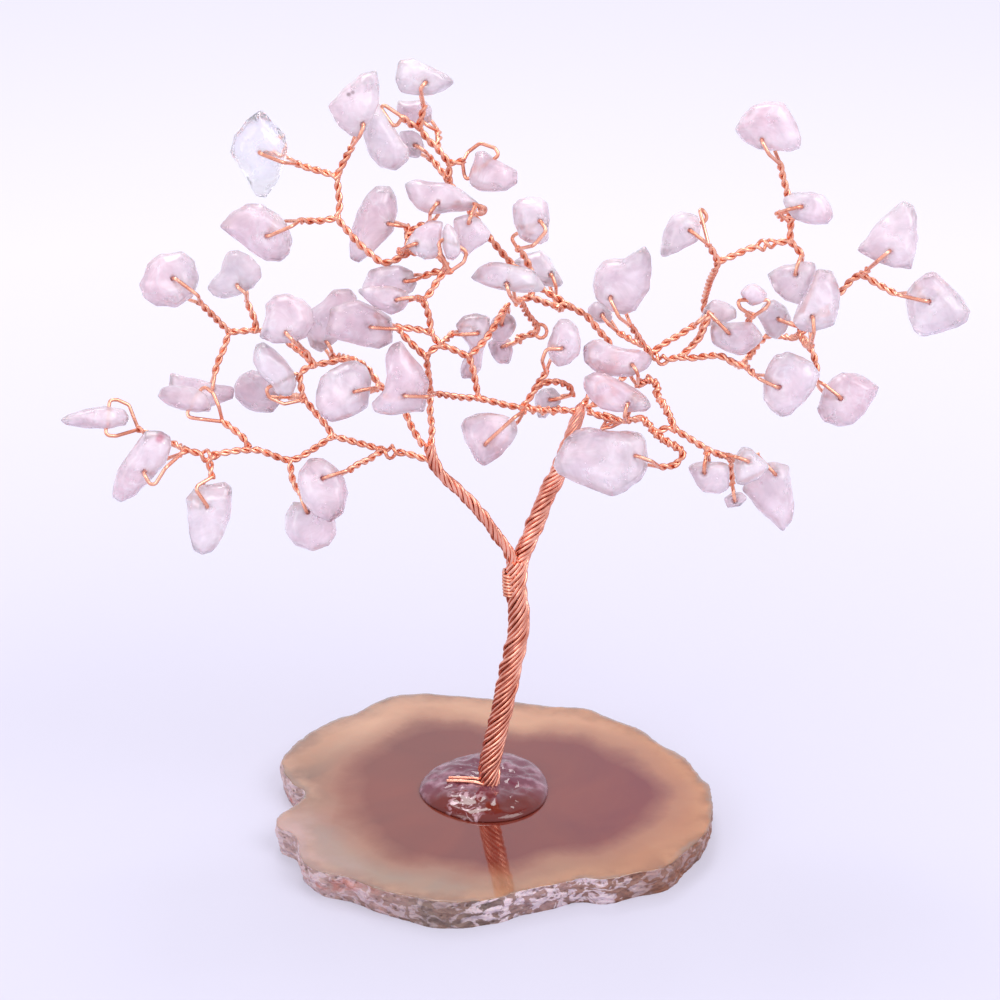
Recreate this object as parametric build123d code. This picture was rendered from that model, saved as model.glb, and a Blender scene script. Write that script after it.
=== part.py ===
from build123d import *
import os
from math import cos, radians, sin, tan

# Gemstone tree ornament: drilled tumbled stone chips threaded on thin copper wire. The twigs
# are twisted pairs, the pairs bundle into two limbs and one trunk, and the trunk's splayed
# foot is glued to a polished agate slice.
# Millimetres, +Z up, +X to the right of the front view, +Y to the back. The origin is on the
# slice's underside, straight below the trunk's foot.

# Front view that the places follow: the upright plane through the trunk, seen from above
VIEW_SPAN = 160.0
VIEW_DISTANCE = 450.0
VIEW_DROP_DEG = 23.0

# Wire
WIRE_D = 0.6
STEM_D = 1.2
KNOT_D = 1.4
STEM_BEND_R = 2.4
LOOP_BEND_R = 0.8
LOOP_SPREAD = 0.2
ROOT_GAP = 0.05

# Bundles of wire
TRUNK_D = 3.7
RIGHT_LIMB_D = 3.0
LEFT_LIMB_D = 2.0
LIMB_BEND_R = 12.0
FOOT_WIRE_D = 0.7
FOOT_WIRE_BEND_R = 1.6
FOOT_WIRE_RISE = 1.8
FOOT_WIRE_LIFT = 0.2

# Stone chips
CHIP_T = 4.6
BORE_GAP = 0.2
LEG_GAP = 0.25
EDGE_GAP = 0.35

# Agate slice and glue
SLICE_T = 5.0
GLUE_RISE = 3.2

# How far out a foot wire reaches the slice, as a share of its way out
FOOT_KNEE_SHARE = 0.55

# Places are given in thousandths of VIEW_SPAN: across from the left edge of the view and down
# from its top edge. A third number is how far the place lies behind the trunk's plane.
PLACES_IN_SPAN_SHARE = 1000
FOOT_SHARES = (490, 795)

SLICE_EDGE_SHARES = [
    (278, 762), (291, 744), (312, 729), (334, 718), (353, 712), (384, 697), (416, 692),
    (453, 694), (487, 697), (522, 701), (553, 705), (587, 707), (616, 719), (644, 729),
    (662, 743), (687, 757), (703, 776), (714, 788), (716, 816), (709, 835), (687, 854),
    (669, 868), (634, 876), (609, 881), (587, 880), (562, 885), (522, 893), (500, 900),
    (469, 904), (437, 904), (400, 897), (375, 891), (344, 879), (312, 872), (297, 858),
    (295, 845), (289, 835), (274, 828), (273, 819), (284, 810), (297, 801), (301, 791),
    (288, 783),
]
# How far the crust stands in or out at each level of the slice's edge, and the level's height
CRUST_SHARES = [(0.965, 0.0), (0.995, 0.3), (1.0, 0.72), (0.992, 1.0)]

GLUE_EDGE_SHARES = [
    (418, 790), (428, 774), (447, 764), (470, 757), (497, 754), (522, 759), (540, 770),
    (549, 787), (544, 805), (526, 817), (500, 823), (470, 822), (444, 814), (426, 804),
]
# Size of the glue mound's outline at each level, and the level's height
GLUE_LEVEL_SHARES = [(1.0, 0.0), (0.93, 0.22), (0.8, 0.5), (0.6, 0.76), (0.38, 0.93), (0.2, 1.0)]

TRUNK_SHARES = [
    (490, 801, 0), (489, 768, 0), (494, 741, 0), (500, 716, 0), (506, 691, 0), (512, 660, 0),
    (519, 630, 0), (518, 606, 0), (515, 585, 0), (517, 560, 0),
]
RIGHT_LIMB_SHARES = [
    (522, 556, 4), (530, 536, 6), (537, 518, 8), (546, 497, 10), (557, 476, 12), (566, 452, 14),
    (574, 428, 14), (582, 404, 14),
]
LEFT_LIMB_SHARES = [
    (511, 555, -4), (499, 538, -6), (486, 520, -8), (471, 503, -8), (458, 489, -10),
    (443, 477, -10), (433, 462, -10), (429, 444, -10),
]

# Where the wire ends that splay out from the trunk's foot stop, on the slice, inside the glue
FOOT_WIRE_END_SHARES = [
    (450, 781), (459, 795), (483, 805), (511, 803), (529, 789), (520, 771), (494, 763), (467, 767),
]

# Twisted stems of each branch wire. The first stem starts in the limb or on another wire.
STEM_SHARES = {
    "left_low_wire": [
        [(428, 460, -9), (406, 453, -7), (391, 452, -5), (366, 445, 3), (348, 440, 8), (333, 436, 10)],
        [(333, 436, 10), (324, 442, 6), (312, 450, 0), (297, 459, -3), (285, 460, -4),
         (272, 455, -6), (259, 450, -8), (241, 450, -10), (222, 453, -12), (209, 457, -14),
         (198, 453, -15), (186, 450, -16)],
    ],
    "left_rise_wire": [
        [(333, 436, 10), (326, 425, 14), (315, 412, 20), (303, 398, 28)],
        [(303, 398, 28), (301, 388, 29), (299, 376, 30), (304, 369, 32), (314, 365, 34)],
        [(314, 365, 34), (331, 362, 38), (347, 358, 40), (359, 361, 36), (369, 370, 30), (379, 384, 22)],
        [(379, 384, 22), (386, 392, 16), (398, 404, 10), (407, 416, 2), (413, 430, -5), (422, 444, -9)],
    ],
    "far_left_wire": [
        [(314, 365, 34), (305, 355, 46), (288, 342, 64), (272, 333, 66), (256, 330, 60)],
        [(256, 330, 60), (242, 331, 60), (229, 332, 60)],
    ],
    "centre_left_wire": [
        [(431, 447, -10), (432, 429, -6), (430, 410, 2), (430, 390, 4), (428, 373, -2), (426, 357, -8)],
        [(426, 357, -8), (432, 350, -6), (440, 345, -4)],
        [(426, 357, -8), (413, 345, -5), (403, 335, -2), (398, 327, 0)],
    ],
    "centre_wire": [
        [(440, 345, -4), (430, 332, -5), (430, 321, -7), (427, 310, -9), (423, 300, -10)],
        [(430, 332, -5), (416, 329, -2), (398, 327, 0)],
        [(423, 300, -10), (430, 293, -8), (436, 283, -5), (445, 270, 0)],
    ],
    "upper_left_wire": [
        [(445, 270, 0), (447, 263, 12), (436, 254, 24), (420, 252, 26), (405, 254, 14),
         (392, 262, 12), (381, 263, 12), (358, 243, 11), (345, 228, 10), (337, 218, 10)],
        [(337, 218, 10), (340, 205, 11), (338, 190, 12), (337, 176, 12)],
    ],
    "centre_cross_wire": [
        [(581, 412, 14), (562, 410, 12), (546, 411, 12), (522, 408, 10), (506, 405, 8), (478, 398, 5)],
        [(478, 398, 5), (476, 385, 4), (473, 370, 2), (469, 357, 0)],
        [(469, 357, 0), (452, 349, -2), (440, 345, -4)],
    ],
    "top_wire": [
        [(584, 404, 18), (597, 384, 36), (612, 362, 44), (611, 345, 44), (599, 330, 45),
         (586, 315, 46), (569, 306, 47)],
        [(569, 306, 47), (559, 299, 50), (545, 291, 53), (527, 279, 56), (510, 262, 58),
         (492, 241, 60), (472, 214, 63), (458, 196, 62), (449, 182, 60), (449, 163, 56)],
        [(449, 163, 56), (437, 148, 53), (427, 139, 51), (419, 127, 50)],
    ],
    "upper_mid_wire": [
        [(569, 306, 47), (556, 306, 40), (543, 302, 35), (531, 297, 30), (520, 300, 24)],
        [(520, 300, 24), (527, 314, 50), (537, 326, 64), (543, 332, 68), (531, 334, 72), (518, 338, 76)],
    ],
    "right_wire": [
        [(588, 408, 10), (607, 397, 22), (625, 375, 38), (640, 359, 42), (651, 353, 38)],
        [(651, 353, 38), (660, 361, 34), (680, 357, 28), (693, 358, 22), (707, 356, 18),
         (720, 355, 12), (734, 363, 7), (747, 367, 4)],
    ],
    "right_outer_wire": [
        [(734, 363, 7), (741, 367, 24), (750, 356, 48), (760, 342, 68), (770, 334, 80),
         (782, 336, 74), (794, 338, 54), (800, 334, 32)],
        [(800, 334, 32), (814, 320, 14), (829, 303, 10), (840, 293, 8), (852, 279, 8), (861, 274, 6)],
    ],
    "upper_right_wire": [
        [(680, 357, 28), (691, 347, 38), (700, 337, 54), (704, 322, 74), (704, 300, 72),
         (710, 280, 30), (715, 270, 6), (718, 262, 0)],
        [(718, 262, 0), (735, 255, 4), (748, 249, 8), (759, 246, 10), (774, 243, 12), (790, 241, 14)],
    ],
    "lower_right_wire": [
        [(590, 412, 8), (606, 418, 0), (622, 421, -8), (641, 418, -13), (648, 424, -15), (655, 433, -16)],
        [(655, 433, -16), (664, 440, -18), (675, 446, -20), (685, 454, -23), (675, 465, -26)],
        [(655, 433, -16), (668, 427, -16), (676, 430, -16), (696, 443, -15), (708, 450, -14),
         (721, 455, -12)],
        [(676, 430, -16), (670, 418, -14), (664, 405, -12), (656, 394, -8), (658, 385, -4),
         (648, 378, 0)],
    ],
}

# What each wire's ends stop short of, by ROOT_GAP
ROOT_OF_WIRE = {
    "left_low_wire": ["left_limb"],
    "left_rise_wire": ["left_low_wire", "left_limb"],
    "far_left_wire": ["left_rise_wire"],
    "centre_left_wire": ["left_limb", "left_rise_wire", "left_low_wire"],
    "centre_wire": ["centre_left_wire"],
    "upper_left_wire": ["centre_wire"],
    "centre_cross_wire": ["right_limb", "centre_wire", "centre_left_wire"],
    "top_wire": ["right_limb", "centre_cross_wire"],
    "upper_mid_wire": ["top_wire"],
    "right_wire": ["right_limb", "top_wire", "centre_cross_wire"],
    "right_outer_wire": ["right_wire"],
    "upper_right_wire": ["right_wire"],
    "lower_right_wire": ["right_limb", "centre_cross_wire", "right_wire", "top_wire"],
}

# Chips. wire: the branch wire that carries the chip. back: depth of the chip's middle. thick:
# thickness as a share of CHIP_T. turn and lean: degrees that its face turns from the view.
# edge: its outline. hole: one place for a hole through the faces, or two places for a hole
# that runs across from edge to edge. twig: the stem to the loop's closing place. out and home:
# places that the loop passes on the way to the hole and back, with how far each stands off the
# chip's middle plane, as a share of the way to the front leg.
CHIP_SHARES = {
    "chip_left_01": dict(
        wire="left_low_wire", back=6, thick=0.8, turn=12, lean=-8,
        edge=[(61, 420), (66, 416), (85, 409), (106, 406), (124, 410), (129, 418), (126, 425),
              (107, 429), (85, 427), (66, 424)],
        hole=[(109, 406), (106, 429)],
        twig=[(186, 450, -16), (176, 444, 10), (156, 438, 12), (138, 429, 8)],
        out=[(134, 418, 0), (129, 405, 0), (118, 400, 0)], home=[(116, 436, 0)]),
    "chip_left_02": dict(
        wire="left_low_wire", back=-24, thick=0.9, turn=-10, lean=10,
        edge=[(146, 431), (162, 431), (171, 436), (173, 446), (165, 463), (149, 481), (135, 495),
              (120, 502), (113, 497), (113, 484), (119, 469), (130, 453)],
        hole=[(146, 470)],
        twig=[(186, 450, -16), (181, 454, -20)],
        out=[(168, 465, 1), (155, 486, 1)], home=[]),
    "chip_left_03": dict(
        wire="left_low_wire", back=-26, thick=1.1, turn=14, lean=6,
        edge=[(186, 498), (196, 486), (210, 485), (225, 482), (231, 487), (231, 503), (229, 518),
              (222, 536), (212, 552), (203, 556), (194, 551), (190, 533)],
        hole=[(204, 506)],
        twig=[(209, 457, -14), (210, 466, -18), (212, 477, -24)],
        out=[(190, 486, 1)], home=[]),
    "chip_left_04": dict(
        wire="left_low_wire", back=2, thick=0.95, turn=-12, lean=-8,
        edge=[(158, 396), (161, 388), (171, 385), (186, 386), (198, 389), (207, 396), (211, 405),
              (211, 412), (196, 412), (181, 409), (166, 404)],
        hole=[(200, 391), (188, 411)],
        twig=[(248, 446, -8), (244, 438, -6), (233, 429, -2), (222, 421, 2)],
        out=[(219, 407, 0), (213, 393, 0)], home=[(200, 419, 0)]),
    "chip_left_05": dict(
        wire="left_low_wire", back=-26, thick=1.15, turn=-8, lean=0,
        edge=[(286, 515), (293, 502), (310, 501), (327, 506), (334, 517), (336, 533), (330, 546),
              (312, 551), (294, 545), (286, 531)],
        hole=[(309, 512)],
        twig=[(290, 460, -4), (291, 470, -10), (293, 482, -18), (300, 493, -25)],
        out=[], home=[]),
    "chip_left_06": dict(
        wire="left_low_wire", back=-40, thick=1.1, turn=10, lean=-6,
        edge=[(299, 471), (309, 459), (323, 458), (337, 468), (346, 480), (349, 493), (343, 513),
              (330, 522), (315, 515), (302, 500), (297, 485)],
        hole=[(321, 480)],
        twig=[(383, 450, -3), (370, 459, -16), (357, 465, -30), (350, 470, -39)],
        out=[], home=[]),
    "chip_left_07": dict(
        wire="left_rise_wire", back=28, thick=0.95, turn=8, lean=6,
        edge=[(253, 352), (256, 344), (264, 343), (274, 350), (286, 361), (294, 371), (296, 384),
              (292, 394), (287, 396), (277, 393), (270, 383), (258, 372), (253, 362)],
        hole=[(294, 374), (271, 386)],
        twig=[(303, 398, 28), (302, 400, 28)],
        out=[], home=[(270, 398, 0), (284, 404, 0)]),
    "chip_left_08": dict(
        wire="far_left_wire", back=54, thick=1.0, turn=-14, lean=8,
        edge=[(228, 252), (238, 251), (249, 256), (260, 267), (261, 277), (254, 288), (241, 294),
              (225, 298), (213, 296), (208, 288), (212, 281), (221, 272), (224, 261)],
        hole=[(240, 283)],
        twig=[(256, 330, 60), (255, 320, 58), (251, 311, 57), (247, 302, 56)],
        out=[(250, 291, 1)], home=[]),
    "chip_left_09": dict(
        wire="far_left_wire", back=36, thick=1.15, turn=12, lean=-6,
        edge=[(140, 285), (148, 264), (160, 254), (182, 252), (194, 261), (199, 278), (192, 297),
              (176, 307), (157, 306), (144, 297)],
        hole=[(170, 280)],
        twig=[(229, 332, 60), (216, 319, 50), (207, 310, 42), (200, 303, 38)],
        out=[], home=[]),
    "chip_left_10": dict(
        wire="far_left_wire", back=50, thick=0.8, turn=6, lean=-8,
        edge=[(170, 373), (183, 376), (198, 380), (216, 385), (234, 388), (233, 398), (223, 402),
              (205, 408), (182, 404), (168, 392)],
        hole=[(211, 392)],
        twig=[(229, 332, 60), (224, 348, 58), (218, 362, 54), (215, 372, 50)],
        out=[], home=[]),
    "chip_left_11": dict(
        wire="left_rise_wire", back=84, thick=0.85, turn=-10, lean=6,
        edge=[(234, 386), (241, 375), (252, 368), (264, 373), (276, 387), (281, 402), (273, 413),
              (258, 413), (243, 406), (234, 397)],
        hole=[(270, 395)],
        twig=[(303, 398, 28), (296, 396, 56), (289, 397, 80)],
        out=[], home=[]),
    "chip_left_12": dict(
        wire="left_rise_wire", back=28, thick=1.1, turn=-10, lean=-6,
        edge=[(259, 337), (265, 318), (266, 305), (275, 296), (289, 294), (302, 299), (311, 308),
              (314, 324), (306, 337), (290, 343), (272, 343)],
        hole=[(288, 334)],
        twig=[(314, 365, 34), (309, 358, 31), (305, 351, 28)],
        out=[], home=[]),
    "chip_left_13": dict(
        wire="left_rise_wire", back=72, thick=1.0, turn=12, lean=4,
        edge=[(308, 311), (322, 303), (334, 290), (350, 289), (357, 298), (352, 318), (342, 336),
              (332, 345), (321, 352), (311, 347), (305, 330)],
        hole=[(324, 341)],
        twig=[(347, 358, 40), (339, 356, 56), (330, 356, 70)],
        out=[], home=[]),
    "chip_left_14": dict(
        wire="left_rise_wire", back=0, thick=1.05, turn=14, lean=-8,
        edge=[(317, 390), (321, 378), (331, 370), (345, 362), (356, 361), (366, 367), (371, 379),
              (370, 393), (367, 407), (352, 417), (333, 422), (321, 417), (316, 405)],
        hole=[(351, 394)],
        twig=[(379, 384, 22), (379, 389, 8)],
        out=[], home=[]),
    "chip_left_15": dict(
        wire="centre_cross_wire", back=-32, thick=1.1, turn=-8, lean=6,
        edge=[(372, 404), (384, 391), (388, 374), (385, 356), (392, 345), (401, 341), (409, 352),
              (421, 367), (429, 382), (427, 402), (424, 412), (409, 412), (391, 415), (374, 412)],
        hole=[(406, 394)],
        twig=[(478, 398, 5), (465, 398, -4), (450, 396, -16), (437, 394, -30)],
        out=[], home=[]),
    "chip_left_16": dict(
        wire="centre_left_wire", back=4, thick=1.1, turn=10, lean=8,
        edge=[(330, 309), (344, 303), (359, 300), (378, 309), (391, 318), (393, 331), (392, 342),
              (378, 350), (360, 345), (338, 340), (326, 331)],
        hole=[(368, 325)],
        twig=[(398, 327, 0), (399, 328, 2)],
        out=[], home=[]),
    "chip_left_17": dict(
        wire="centre_wire", back=8, thick=0.9, turn=-8, lean=10,
        edge=[(361, 290), (369, 271), (383, 267), (399, 266), (413, 272), (416, 284), (412, 292),
              (395, 296), (374, 295)],
        hole=[(406, 279)],
        twig=[(445, 270, 0), (434, 272, 4), (424, 276, 8)],
        out=[], home=[]),
    "chip_left_18": dict(
        wire="centre_wire", back=-34, thick=0.8, turn=8, lean=-6,
        edge=[(357, 290), (372, 286), (393, 287), (408, 292), (409, 301), (404, 310), (391, 314),
              (374, 306)],
        hole=[(395, 301)],
        twig=[(423, 300, -10), (417, 298, -32)],
        out=[], home=[]),
    "chip_top_01": dict(
        wire="upper_left_wire", back=-10, thick=1.1, turn=10, lean=8,
        edge=[(220, 226), (232, 212), (247, 203), (262, 204), (276, 213), (289, 227), (293, 241),
              (290, 254), (281, 262), (267, 261), (250, 250), (232, 237)],
        hole=[(264, 234)],
        twig=[(337, 218, 10), (320, 221, 8), (304, 221, 2), (299, 221, -8)],
        out=[], home=[]),
    "chip_top_02": dict(
        wire="upper_left_wire", back=26, thick=1.0, turn=-12, lean=6,
        edge=[(231, 152), (235, 135), (246, 121), (261, 110), (274, 124), (285, 136), (287, 150),
              (283, 168), (276, 184), (266, 198), (257, 196), (249, 182), (238, 166)],
        hole=[(262, 151)],
        twig=[(337, 176, 12), (320, 171, 16), (306, 167, 22), (298, 164, 26)],
        out=[], home=[]),
    "chip_top_03": dict(
        wire="upper_left_wire", back=2, thick=1.1, turn=10, lean=-8,
        edge=[(376, 71), (362, 74), (350, 82), (339, 94), (329, 106), (334, 118), (340, 128),
              (350, 136), (361, 136), (370, 123), (378, 104), (380, 85)],
        hole=[(361, 126)],
        twig=[(337, 176, 12), (342, 165, 10), (347, 155, 6), (351, 148, 2)],
        out=[], home=[]),
    "chip_top_04": dict(
        wire="top_wire", back=34, thick=1.15, turn=-10, lean=6,
        edge=[(368, 98), (379, 104), (388, 117), (399, 136), (409, 149), (408, 160), (396, 170),
              (381, 167), (371, 156), (365, 141), (361, 124)],
        hole=[(377, 103), (391, 123)],
        twig=[(419, 127, 50), (411, 125, 46), (402, 117, 38)],
        out=[], home=[]),
    "chip_top_05": dict(
        wire="top_wire", back=44, thick=1.0, turn=12, lean=-6,
        edge=[(399, 61), (413, 59), (431, 67), (446, 75), (454, 82), (445, 90), (433, 95),
              (415, 94), (400, 92), (396, 80)],
        hole=[(423, 84)],
        twig=[(419, 127, 50), (421, 117, 49), (424, 106, 46)],
        out=[(416, 90, 1.15)], home=[]),
    "chip_top_06": dict(
        wire="top_wire", back=86, thick=0.8, turn=-8, lean=8,
        edge=[(397, 100), (410, 101), (424, 100), (431, 107), (431, 121), (420, 127), (406, 125),
              (397, 115)],
        hole=[(423, 118)],
        twig=[(437, 148, 53), (439, 139, 64), (438, 131, 78)],
        out=[], home=[]),
    "chip_top_07": dict(
        wire="top_wire", back=80, thick=0.8, turn=10, lean=-4,
        edge=[(400, 132), (412, 131), (421, 136), (424, 147), (419, 157), (409, 157), (401, 146)],
        hole=[(413, 146)],
        twig=[(449, 182, 60), (444, 174, 66), (436, 164, 76), (430, 158, 80)],
        out=[], home=[]),
    "chip_top_08": dict(
        wire="top_wire", back=50, thick=1.05, turn=-10, lean=-6,
        edge=[(476, 152), (484, 151), (494, 158), (504, 164), (517, 171), (517, 183), (507, 191),
              (492, 192), (479, 191), (470, 186), (469, 178)],
        hole=[(494, 159), (472, 176)],
        twig=[(449, 163, 56), (456, 162, 54), (463, 161, 52)],
        out=[(468, 152, 0), (480, 143, 0), (495, 148, 0)], home=[(464, 174, 0)]),
    "chip_top_09": dict(
        wire="upper_left_wire", back=44, thick=1.15, turn=8, lean=6,
        edge=[(376, 186), (367, 196), (358, 211), (353, 228), (350, 245), (351, 259), (359, 262),
              (369, 255), (383, 242), (394, 230), (397, 214), (396, 198), (390, 187)],
        hole=[(386, 222)],
        twig=[(405, 254, 14), (408, 245, 26), (408, 234, 40), (407, 226, 44)],
        out=[], home=[]),
    "chip_top_10": dict(
        wire="upper_left_wire", back=32, thick=1.1, turn=-8, lean=-8,
        edge=[(404, 184), (416, 180), (432, 182), (448, 184), (464, 191), (479, 203), (477, 208),
              (466, 210), (448, 213), (430, 214), (418, 209), (410, 199)],
        hole=[(440, 205)],
        twig=[(408, 234, 40), (418, 226, 36), (430, 223, 32)],
        out=[], home=[]),
    "chip_top_11": dict(
        wire="upper_left_wire", back=-6, thick=0.95, turn=8, lean=-6,
        edge=[(415, 229), (406, 245), (414, 253), (425, 260), (436, 257), (440, 247), (441, 234),
              (443, 222), (430, 221)],
        hole=[(415, 245)],
        twig=[(405, 254, 14), (401, 252, 4), (399, 251, -6)],
        out=[], home=[]),
    "chip_top_12": dict(
        wire="top_wire", back=0, thick=0.95, turn=-6, lean=6,
        edge=[(454, 219), (467, 215), (479, 219), (490, 233), (487, 241), (476, 248), (467, 257),
              (459, 250), (455, 235)],
        hole=[(470, 222)],
        twig=[(472, 214, 63), (483, 212, 44), (484, 209, 20), (475, 206, 4)],
        out=[], home=[]),
    "chip_top_13": dict(
        wire="centre_wire", back=-38, thick=0.7, turn=6, lean=0,
        edge=[(447, 223), (455, 230), (461, 242), (461, 253), (454, 261), (447, 260), (443, 247),
              (443, 232)],
        hole=[(443, 238), (461, 248)],
        twig=[(445, 270, 0), (447, 271, -20), (450, 271, -36)],
        out=[(437, 246, 0), (443, 264, 0)], home=[(464, 262, 0)]),
    "chip_centre_01": dict(
        wire="upper_mid_wire", back=30, thick=1.1, turn=10, lean=-4,
        edge=[(513, 206), (519, 199), (530, 197), (541, 197), (547, 203), (549, 220), (549, 240),
              (540, 244), (528, 242), (519, 238), (515, 224)],
        hole=[(537, 222)],
        twig=[(531, 297, 30), (533, 283, 40), (530, 268, 40), (524, 256, 36), (518, 249, 30)],
        out=[(530, 247, 1.1), (543, 232, 1.1)], home=[(514, 236, -1.1)]),
    "chip_centre_02": dict(
        wire="upper_mid_wire", back=10, thick=1.0, turn=-6, lean=8,
        edge=[(471, 278), (478, 268), (490, 263), (504, 263), (521, 266), (535, 272), (544, 286),
              (543, 291), (525, 292), (504, 290), (487, 285), (474, 281)],
        hole=[(508, 282)],
        twig=[(520, 300, 24), (516, 303, 10)],
        out=[], home=[]),
    "chip_centre_03": dict(
        wire="upper_mid_wire", back=88, thick=0.9, turn=8, lean=-8,
        edge=[(512, 262), (523, 255), (540, 251), (549, 259), (557, 272), (564, 283), (560, 287),
              (545, 286), (525, 280)],
        hole=[(549, 276)],
        twig=[(556, 306, 40), (561, 310, 56), (561, 305, 74), (556, 299, 86)],
        out=[], home=[]),
    "chip_centre_04": dict(
        wire="centre_cross_wire", back=0, thick=1.0, turn=8, lean=6,
        edge=[(553, 327), (560, 319), (569, 320), (577, 328), (580, 341), (579, 355), (570, 364),
              (557, 367), (550, 360), (548, 346)],
        hole=[(560, 347)],
        twig=[(522, 408, 10), (530, 397, 10), (536, 387, 7), (542, 377, 3), (546, 373, 0)],
        out=[(540, 359, 0.9), (544, 347, 1)], home=[]),
    "chip_centre_05": dict(
        wire="centre_cross_wire", back=38, thick=0.75, turn=-10, lean=6,
        edge=[(536, 394), (543, 388), (553, 388), (561, 396), (561, 403), (553, 409), (546, 419),
              (538, 418), (535, 405)],
        hole=[(551, 399)],
        twig=[(536, 387, 7), (547, 382, 12), (560, 382, 22), (571, 388, 34), (572, 395, 38)],
        out=[], home=[]),
    "chip_centre_06": dict(
        wire="centre_cross_wire", back=-18, thick=0.95, turn=-8, lean=-6,
        edge=[(461, 426), (465, 419), (477, 414), (490, 413), (504, 415), (515, 421), (518, 430),
              (511, 444), (501, 455), (484, 466), (476, 460), (470, 449), (464, 438)],
        hole=[(487, 446)],
        twig=[(522, 408, 10), (523, 410, -8), (524, 411, -18)],
        out=[], home=[]),
    "chip_centre_07": dict(
        wire="centre_cross_wire", back=26, thick=0.9, turn=10, lean=6,
        edge=[(455, 324), (463, 317), (477, 313), (490, 316), (489, 334), (482, 350), (480, 370),
              (472, 379), (462, 379), (461, 371), (469, 357), (473, 348), (462, 335)],
        hole=[(476, 332)],
        twig=[(440, 345, -4), (446, 340, 8), (452, 334, 22)],
        out=[], home=[]),
    "chip_centre_08": dict(
        wire="centre_cross_wire", back=52, thick=0.9, turn=-8, lean=4,
        edge=[(492, 318), (503, 312), (513, 317), (516, 325), (511, 336), (503, 342), (494, 340),
              (490, 329)],
        hole=[(503, 324)],
        twig=[(469, 357, 0), (477, 349, 8), (486, 339, 14), (494, 327, 22), (502, 313, 36),
              (508, 306, 50)],
        out=[], home=[]),
    "chip_centre_09": dict(
        wire="upper_mid_wire", back=82, thick=0.75, turn=8, lean=-6,
        edge=[(488, 343), (499, 337), (510, 339), (513, 351), (509, 363), (499, 363), (491, 354)],
        hole=[(501, 348)],
        twig=[(518, 338, 76), (519, 341, 80)],
        out=[], home=[]),
    "chip_right_01": dict(
        wire="upper_right_wire", back=12, thick=1.1, turn=-8, lean=6,
        edge=[(735, 129), (741, 117), (753, 105), (768, 102), (783, 103), (790, 112), (798, 128),
              (802, 138), (800, 148), (790, 153), (776, 151), (758, 149), (743, 140)],
        hole=[(764, 138)],
        twig=[(790, 241, 14), (791, 219, 20), (787, 192, 22), (782, 174, 18), (780, 164, 13)],
        out=[], home=[]),
    "chip_right_02": dict(
        wire="upper_right_wire", back=-4, thick=0.9, turn=10, lean=-6,
        edge=[(783, 199), (793, 193), (810, 192), (823, 196), (830, 206), (834, 217), (828, 225),
              (808, 223), (794, 218), (787, 209)],
        hole=[(800, 208)],
        twig=[(791, 219, 20), (782, 219, 10), (778, 213, -4)],
        out=[], home=[]),
    "chip_right_03": dict(
        wire="upper_right_wire", back=-8, thick=1.0, turn=12, lean=6,
        edge=[(660, 248), (665, 230), (673, 216), (681, 212), (690, 213), (698, 217), (700, 228),
              (698, 240), (690, 245), (676, 252), (662, 257)],
        hole=[(687, 229)],
        twig=[(718, 262, 0), (714, 254, -4), (709, 246, -8)],
        out=[], home=[(714, 222, -1), (702, 205, -1.1)]),
    "chip_right_04": dict(
        wire="right_wire", back=18, thick=1.15, turn=-10, lean=6,
        edge=[(595, 270), (604, 261), (614, 259), (625, 259), (634, 252), (645, 246), (650, 255),
              (651, 271), (649, 289), (641, 301), (636, 310), (624, 314), (610, 310), (597, 300),
              (593, 286)],
        hole=[(613, 296)],
        twig=[(651, 353, 38), (643, 345, 34), (636, 334, 26), (631, 326, 20)],
        out=[], home=[]),
    "chip_right_05": dict(
        wire="right_outer_wire", back=-2, thick=1.05, turn=8, lean=-8,
        edge=[(857, 250), (865, 240), (876, 225), (890, 211), (904, 201), (913, 206), (918, 216),
              (916, 232), (918, 240), (916, 253), (911, 269), (893, 267), (879, 262)],
        hole=[(888, 253)],
        twig=[(861, 274, 6), (867, 270, -2)],
        out=[], home=[]),
    "chip_right_06": dict(
        wire="right_outer_wire", back=-6, thick=1.15, turn=-12, lean=6,
        edge=[(935, 272), (925, 273), (914, 281), (908, 291), (906, 303), (909, 318), (914, 331),
              (923, 336), (937, 333), (956, 328), (967, 322), (972, 311), (964, 301), (950, 287)],
        hole=[(932, 300)],
        twig=[(861, 274, 6), (874, 282, 4), (887, 289, -2), (896, 294, -6)],
        out=[], home=[]),
    "chip_right_07": dict(
        wire="right_wire", back=14, thick=1.05, turn=8, lean=6,
        edge=[(713, 321), (726, 323), (740, 322), (752, 323), (764, 338), (757, 345), (745, 354),
              (738, 355), (725, 351), (713, 343), (710, 331)],
        hole=[(727, 332)],
        twig=[(680, 357, 28), (690, 348, 26), (700, 337, 20), (705, 325, 14), (710, 314, 13)],
        out=[], home=[]),
    "chip_right_08": dict(
        wire="right_wire", back=48, thick=0.7, turn=-6, lean=8,
        edge=[(700, 319), (703, 307), (714, 300), (726, 303), (736, 310), (736, 318), (722, 324),
              (708, 326)],
        hole=[(709, 313)],
        twig=[(651, 353, 38), (667, 342, 42), (681, 334, 46), (693, 326, 48)],
        out=[], home=[]),
    "chip_right_09": dict(
        wire="right_outer_wire", back=-16, thick=0.85, turn=8, lean=-6,
        edge=[(740, 292), (747, 286), (755, 284), (762, 289), (767, 295), (762, 303), (752, 305),
              (744, 300)],
        hole=[(744, 300), (764, 300)],
        twig=[(750, 356, 48), (750, 338, 46), (748, 314, 28), (753, 316, -14)],
        out=[(740, 308, 0)], home=[(766, 308, 0)]),
    "chip_right_10": dict(
        wire="upper_right_wire", back=14, thick=0.9, turn=-8, lean=8,
        edge=[(767, 274), (785, 265), (802, 262), (814, 263), (816, 272), (811, 289), (806, 303),
              (797, 305), (785, 300), (775, 291)],
        hole=[(797, 273)],
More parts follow.
